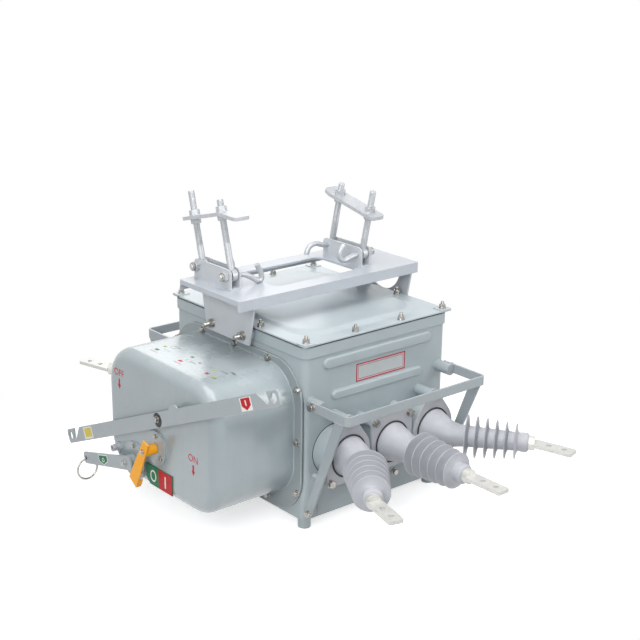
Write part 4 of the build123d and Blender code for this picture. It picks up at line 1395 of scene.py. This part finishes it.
@dataclass
class FrameDress:
    """Long bolts through the legs' spacers and the beads between legs and frame."""

    leg_face: float = 292.0
    spacer_z: float = 508.0
    spacer_y: float = 70.0
    lip_z: float = 618.0
    top_half: float = 125.0
    bead_inner: float = 78.0

    def build(self) -> None:
        """Make every piece."""
        shell = Shell()
        bolt = Fastener(7.0, 20.0, 10.0, Head.STUD_AND_NUT, 16.0, 13.5, 2.4, True, 2.0)
        for end in (-1, 1):
            for number, y in enumerate((-self.spacer_y, self.spacer_y)):
                seat = Seat((end * self.leg_face, y, self.spacer_z), (end, 0, 0), (0, 1, 0))
                bolt.add(shell, seat, scatter(number + 4 * end))
        shell.finish("leg_bolts", slot="steel")
        shell = Shell()
        for end in (-1, 1):
            x = end * (self.leg_face - 6.4)
            level, outer, inner = self.lip_z - 0.4, self.top_half - 4, self.bead_inner
            for low, high in ((-outer, -inner), (inner, outer)):
                shell.bead([(x, low, level), (x, high, level)], 1.8, Coat.FRAME)
            for y in (-self.spacer_y, self.spacer_y):
                shell.round_bead(Seat((x, y, self.spacer_z), (-end, 0, 0)), 15.4, 1.6, Coat.FRAME)
        shell.finish("leg_welds")


@dataclass
class Clamp:
    """One cross-arm clamp: sleeved and threaded rods, nuts and washers at the jaw, hook bolts and beads.

    Each entry of hooks is the path of one hook bolt from its pin: how far inwards, and how far up.
    """

    name: str
    near_x: float
    middle_y: float
    lean: float
    rod_length: float
    jaw_distance: float
    hooks: tuple[tuple[tuple[float, float], ...], ...]
    spacing: float = 134.0
    width: float = 36.0
    clevis_length: float = 168.0
    frame_top: float = 630.0
    pin_z: float = 668.0
    rod_radius: float = 9.3
    rod_pitch: float = 2.0
    jaw_thickness: float = 10.0
    thread_run: float = 74.0
    eye: float = 14.0
    hook_radius: float = 7.6
    hook_thread: float = 24.0
    nut_height: float = 13.0
    washer_height: float = 2.4

    @property
    def outer(self) -> int:
        """The way out of the switch along X: -1 for the left clamp, 1 for the right one."""
        return -1 if self.name == "left" else 1

    def build(self) -> None:
        """Make every piece."""
        lean = math.radians(self.lean)
        way = np.array((0.0, math.sin(lean), math.cos(lean)))
        x = self.near_x + self.width / 2
        nut = Fastener(8.2, 26.0, self.nut_height, washer=0.0, spring=False, coat=Coat.GALVANISED)
        washer = Fastener(8.2, 26.0, 0.4, washer=15.5, washer_height=self.washer_height, spring=False,
                          coat=Coat.GALVANISED)
        threads, nuts = Shell(), Shell()
        for number, offset in enumerate((-self.spacing / 2, self.spacing / 2)):
            pin = np.array((x, self.middle_y + offset, self.pin_z))
            rise = self.jaw_distance - offset * math.sin(lean)
            rod = Seat(tuple(pin), tuple(way), (1, 0, 0))
            start = rise - self.thread_run
            sleeve = np.array([self.eye, start / 2, start + 0.5])
            threads.turned(rod, np.full(3, self.rod_radius), sleeve, Coat.GALVANISED)
            # The thread stops just short of the solid rod's end, so the dressed box stays the solids' box
            end = self.rod_length - 0.05
            Fastener.threaded(threads, rod, self.rod_radius, start, end, self.rod_pitch, Coat.GALVANISED)
            top = rise + self.jaw_thickness
            washer.add(nuts, Seat(tuple(pin + way * top), tuple(way), (1, 0, 0)))
            nut.add(nuts, Seat(tuple(pin + way * (top + self.washer_height)), tuple(way), (1, 0, 0)), scatter(number))
            nut.add(nuts, Seat(tuple(pin + way * rise), tuple(-way), (1, 0, 0)), scatter(number + 7))
        threads.finish(f"rod_threads_{self.name}", slot="galvanised")
        nuts.finish(f"jaw_nut_set_{self.name}", slot="galvanised", stands_for=[f"jaw_nuts_{self.name}"])
        self.fit_pins(x)
        self.bend_hooks(x)

    def bend_hooks(self, x: float) -> None:
        """The hook bolts: bars bent along smooth paths, each with a nut and a thread outside the channel."""
        shell = Shell()
        outside = x + self.outer * self.width / 2
        nut = Fastener(7.2, 24.0, self.nut_height, washer=0.0, spring=False, coat=Coat.GALVANISED)
        for number, (offset, bends) in enumerate(zip((-self.spacing / 2, self.spacing / 2), self.hooks)):
            y = self.middle_y + offset
            corners = [(outside, y, self.pin_z)]
            corners += [(x - self.outer * inwards, y, self.pin_z + up) for inwards, up in bends]
            shell.tube(smooth_path(corners), self.hook_radius, Coat.GALVANISED, 20)
            seat = Seat((outside, y, self.pin_z), (self.outer, 0, 0), (0, 1, 0))
            nut.add(shell, seat, scatter(number))
            Fastener.threaded(shell, seat, self.hook_radius, -2.0, self.hook_thread, self.rod_pitch, Coat.GALVANISED)
        shell.finish(f"hook_bars_{self.name}", slot="galvanised", stands_for=[f"hook_bolts_{self.name}"])

    def fit_pins(self, x: float) -> None:
        """Lock nuts on the hook bolts, and the channel's weld beads."""
        shell = Shell()
        lock = Fastener(7.2, 22.0, 7.0, washer=0.0, spring=False, coat=Coat.PLATED)
        face = x + self.outer * (self.width / 2 + self.nut_height)
        for number, offset in enumerate((-self.spacing / 2, self.spacing / 2)):
            seat = Seat((face, self.middle_y + offset, self.pin_z), (self.outer, 0, 0))
            lock.add(shell, seat, scatter(number + 2))
        shell.finish(f"pin_lock_nuts_{self.name}", slot="steel")
        shell = Shell()
        reach = self.clevis_length / 2 - 3
        for sign in (-1, 1):
            line = x + sign * (self.width / 2 + 0.2)
            shell.bead([(line, self.middle_y - reach, self.frame_top + 0.3),
                        (line, self.middle_y + reach, self.frame_top + 0.3)], 2.2, Coat.FRAME)
        shell.finish(f"clevis_welds_{self.name}")


# Studio


@dataclass
class Studio:
    """Pale floor, white surroundings, soft lamps and the photograph's viewpoint."""

    eye: tuple[float, float, float] = (-2.3316, -2.7859, 1.6542)
    azimuth: float = -40.42
    elevation: float = 17.96
    roll: float = 0.84
    lens: float = 74.4
    sensor: float = 36.0
    floor_reach: float = 12.0
    floor_level: float = -0.0005
    floor_fade: tuple[float, float] = (0.85, 0.7)
    paper: float = 0.86
    glow: float = 0.62
    dim: float = 0.5
    sky: tuple[float, float] = (0.32, 1.0)
    aim: tuple[float, float, float] = (0.0, 0.0, 0.35)
    lamps: tuple[tuple[str, tuple[float, float, float], float, float], ...] = (
        ("lamp_above", (-0.6, -0.5, 3.2), 2.4, 62.0),
        ("lamp_front", (-3.3, -2.3, 2.3), 1.8, 86.0),
        ("lamp_right", (2.2, -3.2, 1.9), 1.8, 46.0),
        ("lamp_behind", (1.8, 3.0, 2.2), 2.0, 18.0),
    )

    def build(self) -> None:
        """Set the whole studio up."""
        self.place_camera()
        self.lay_floor()
        self.light()
        self.surround()

    def place_camera(self) -> None:
        """Put the camera at the photograph's viewpoint with no shift."""
        azimuth, elevation, roll = (math.radians(a) for a in (self.azimuth, self.elevation, self.roll))
        back = Vector((math.sin(azimuth) * math.cos(elevation), -math.cos(azimuth) * math.cos(elevation),
                       math.sin(elevation)))
        right = Vector((math.cos(azimuth), math.sin(azimuth), 0.0))
        up = back.cross(right)
        turned = math.cos(roll) * right + math.sin(roll) * up
        risen = math.cos(roll) * up - math.sin(roll) * right
        place = Matrix.Identity(4)
        for column, axis in enumerate((turned, risen, back, Vector(self.eye))):
            for row in range(3):
                place[row][column] = axis[row]
        data = bpy.data.cameras.new("camera")
        data.lens = self.lens
        data.sensor_width = self.sensor
        data.clip_end = 100.0
        camera = bpy.data.objects.new("camera", data)
        camera.matrix_world = place
        bpy.context.scene.collection.objects.link(camera)
        bpy.context.scene.camera = camera

    def lay_floor(self) -> None:
        """A wide pale floor just under the feet, which fades to white away from the switch."""
        reach = self.floor_reach
        mesh = bpy.data.meshes.new("floor")
        corners = [(-reach, -reach), (reach, -reach), (reach, reach), (-reach, reach)]
        mesh.from_pydata([(x, y, self.floor_level) for x, y in corners], [], [(0, 1, 2, 3)])
        floor = bpy.data.objects.new("floor", mesh)
        bpy.context.scene.collection.objects.link(floor)
        tree = Tree("floor_paper")
        path = tree.add("ShaderNodeLightPath")
        seen = path.value("Is Camera Ray").most(path.value("Is Glossy Ray")).most(path.value("Is Transmission Ray"))
        x, y, _ = tree.axes()
        far = (x * x + y * y).root().above(*self.floor_fade)
        paper = tree.add("ShaderNodeBsdfDiffuse", None, {"Color": (self.paper, self.paper, self.paper, 1.0)})
        glow = tree.add("ShaderNodeEmission", None, {"Color": (1, 1, 1, 1), "Strength": self.glow})
        white = tree.add("ShaderNodeEmission", None, {"Color": (1, 1, 1, 1), "Strength": 1.0})
        near = tree.add("ShaderNodeAddShader", None, {0: paper.out(), 1: glow.out()})
        seen_floor = tree.add("ShaderNodeMixShader", None, {"Fac": far, 1: near.out(), 2: white.out()})
        dim = tree.add("ShaderNodeBsdfDiffuse", None, {"Color": (self.dim, self.dim, self.dim, 1.0)})
        last = tree.add("ShaderNodeMixShader", None, {"Fac": seen, 1: dim.out(), 2: seen_floor.out()})
        output = tree.add("ShaderNodeOutputMaterial")
        tree.links.new(last.out(), output.node.inputs["Surface"])
        mesh.materials.append(tree.material)

    def light(self) -> None:
        """Soft area lamps: a wide one above, one at each front side and a weak one behind."""
        for name, place, size, power in self.lamps:
            data = bpy.data.lights.new(name, "AREA")
            data.size = size
            data.energy = power
            lamp = bpy.data.objects.new(name, data)
            direction = Vector(self.aim) - Vector(place)
            lamp.matrix_world = Matrix.Translation(place) @ direction.to_track_quat("-Z", "Y").to_matrix().to_4x4()
            bpy.context.scene.collection.objects.link(lamp)

    def surround(self) -> None:
        """White world for the camera and for reflections, dimmer for the light it gives."""
        world = bpy.data.worlds.new("world")
        world.use_nodes = True
        bpy.context.scene.world = world
        nodes, links = world.node_tree.nodes, world.node_tree.links
        nodes.clear()
        path = nodes.new("ShaderNodeLightPath")
        most = nodes.new("ShaderNodeMath")
        most.operation = "MAXIMUM"
        links.new(path.outputs["Is Camera Ray"], most.inputs[0])
        links.new(path.outputs["Is Glossy Ray"], most.inputs[1])
        mix = nodes.new("ShaderNodeMixShader")
        links.new(most.outputs[0], mix.inputs["Fac"])
        for place, strength in enumerate(self.sky, 1):
            back = nodes.new("ShaderNodeBackground")
            back.inputs["Color"].default_value = (1, 1, 1, 1)
            back.inputs["Strength"].default_value = strength
            links.new(back.outputs[0], mix.inputs[place])
        output = nodes.new("ShaderNodeOutputWorld")
        links.new(mix.outputs[0], output.inputs["Surface"])


def main() -> None:
    """Build the dressed switch piece by piece."""
    logging.basicConfig(level=logging.INFO, format="%(message)s")
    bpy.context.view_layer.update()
    bpy.context.scene.view_settings.view_transform = "Standard"
    coat_nodes()
    for assembly in (
        TankDress(), BushingSet(), GuardDress(), CoverDress(), LeverDress(), HandleDress(), PointerDress(),
        FrameDress(),
        Clamp("left", -312.0, 41.0, 15.0, 206.0, 145.0, (
            ((18, 0), (46, -6), (68, -18), (84, -30), (102, -30), (98, -8), (88, 8), (84, 16)),
            ((18, 0), (46, -6), (68, -18), (84, -30), (102, -30), (98, -8), (92, 0)),
        )),
        Clamp("right", 121.0, 0.0, -12.0, 192.0, 134.0, (
            ((18, 0), (48, -5), (68, -12), (84, -4), (86, 14), (78, 28), (70, 34)),
            ((18, 0), (38, 2), (60, 12), (82, 8), (94, -6), (96, -18)),
        )),
        Studio(),
    ):
        assembly.build()


if __name__ == "__main__":
    main()
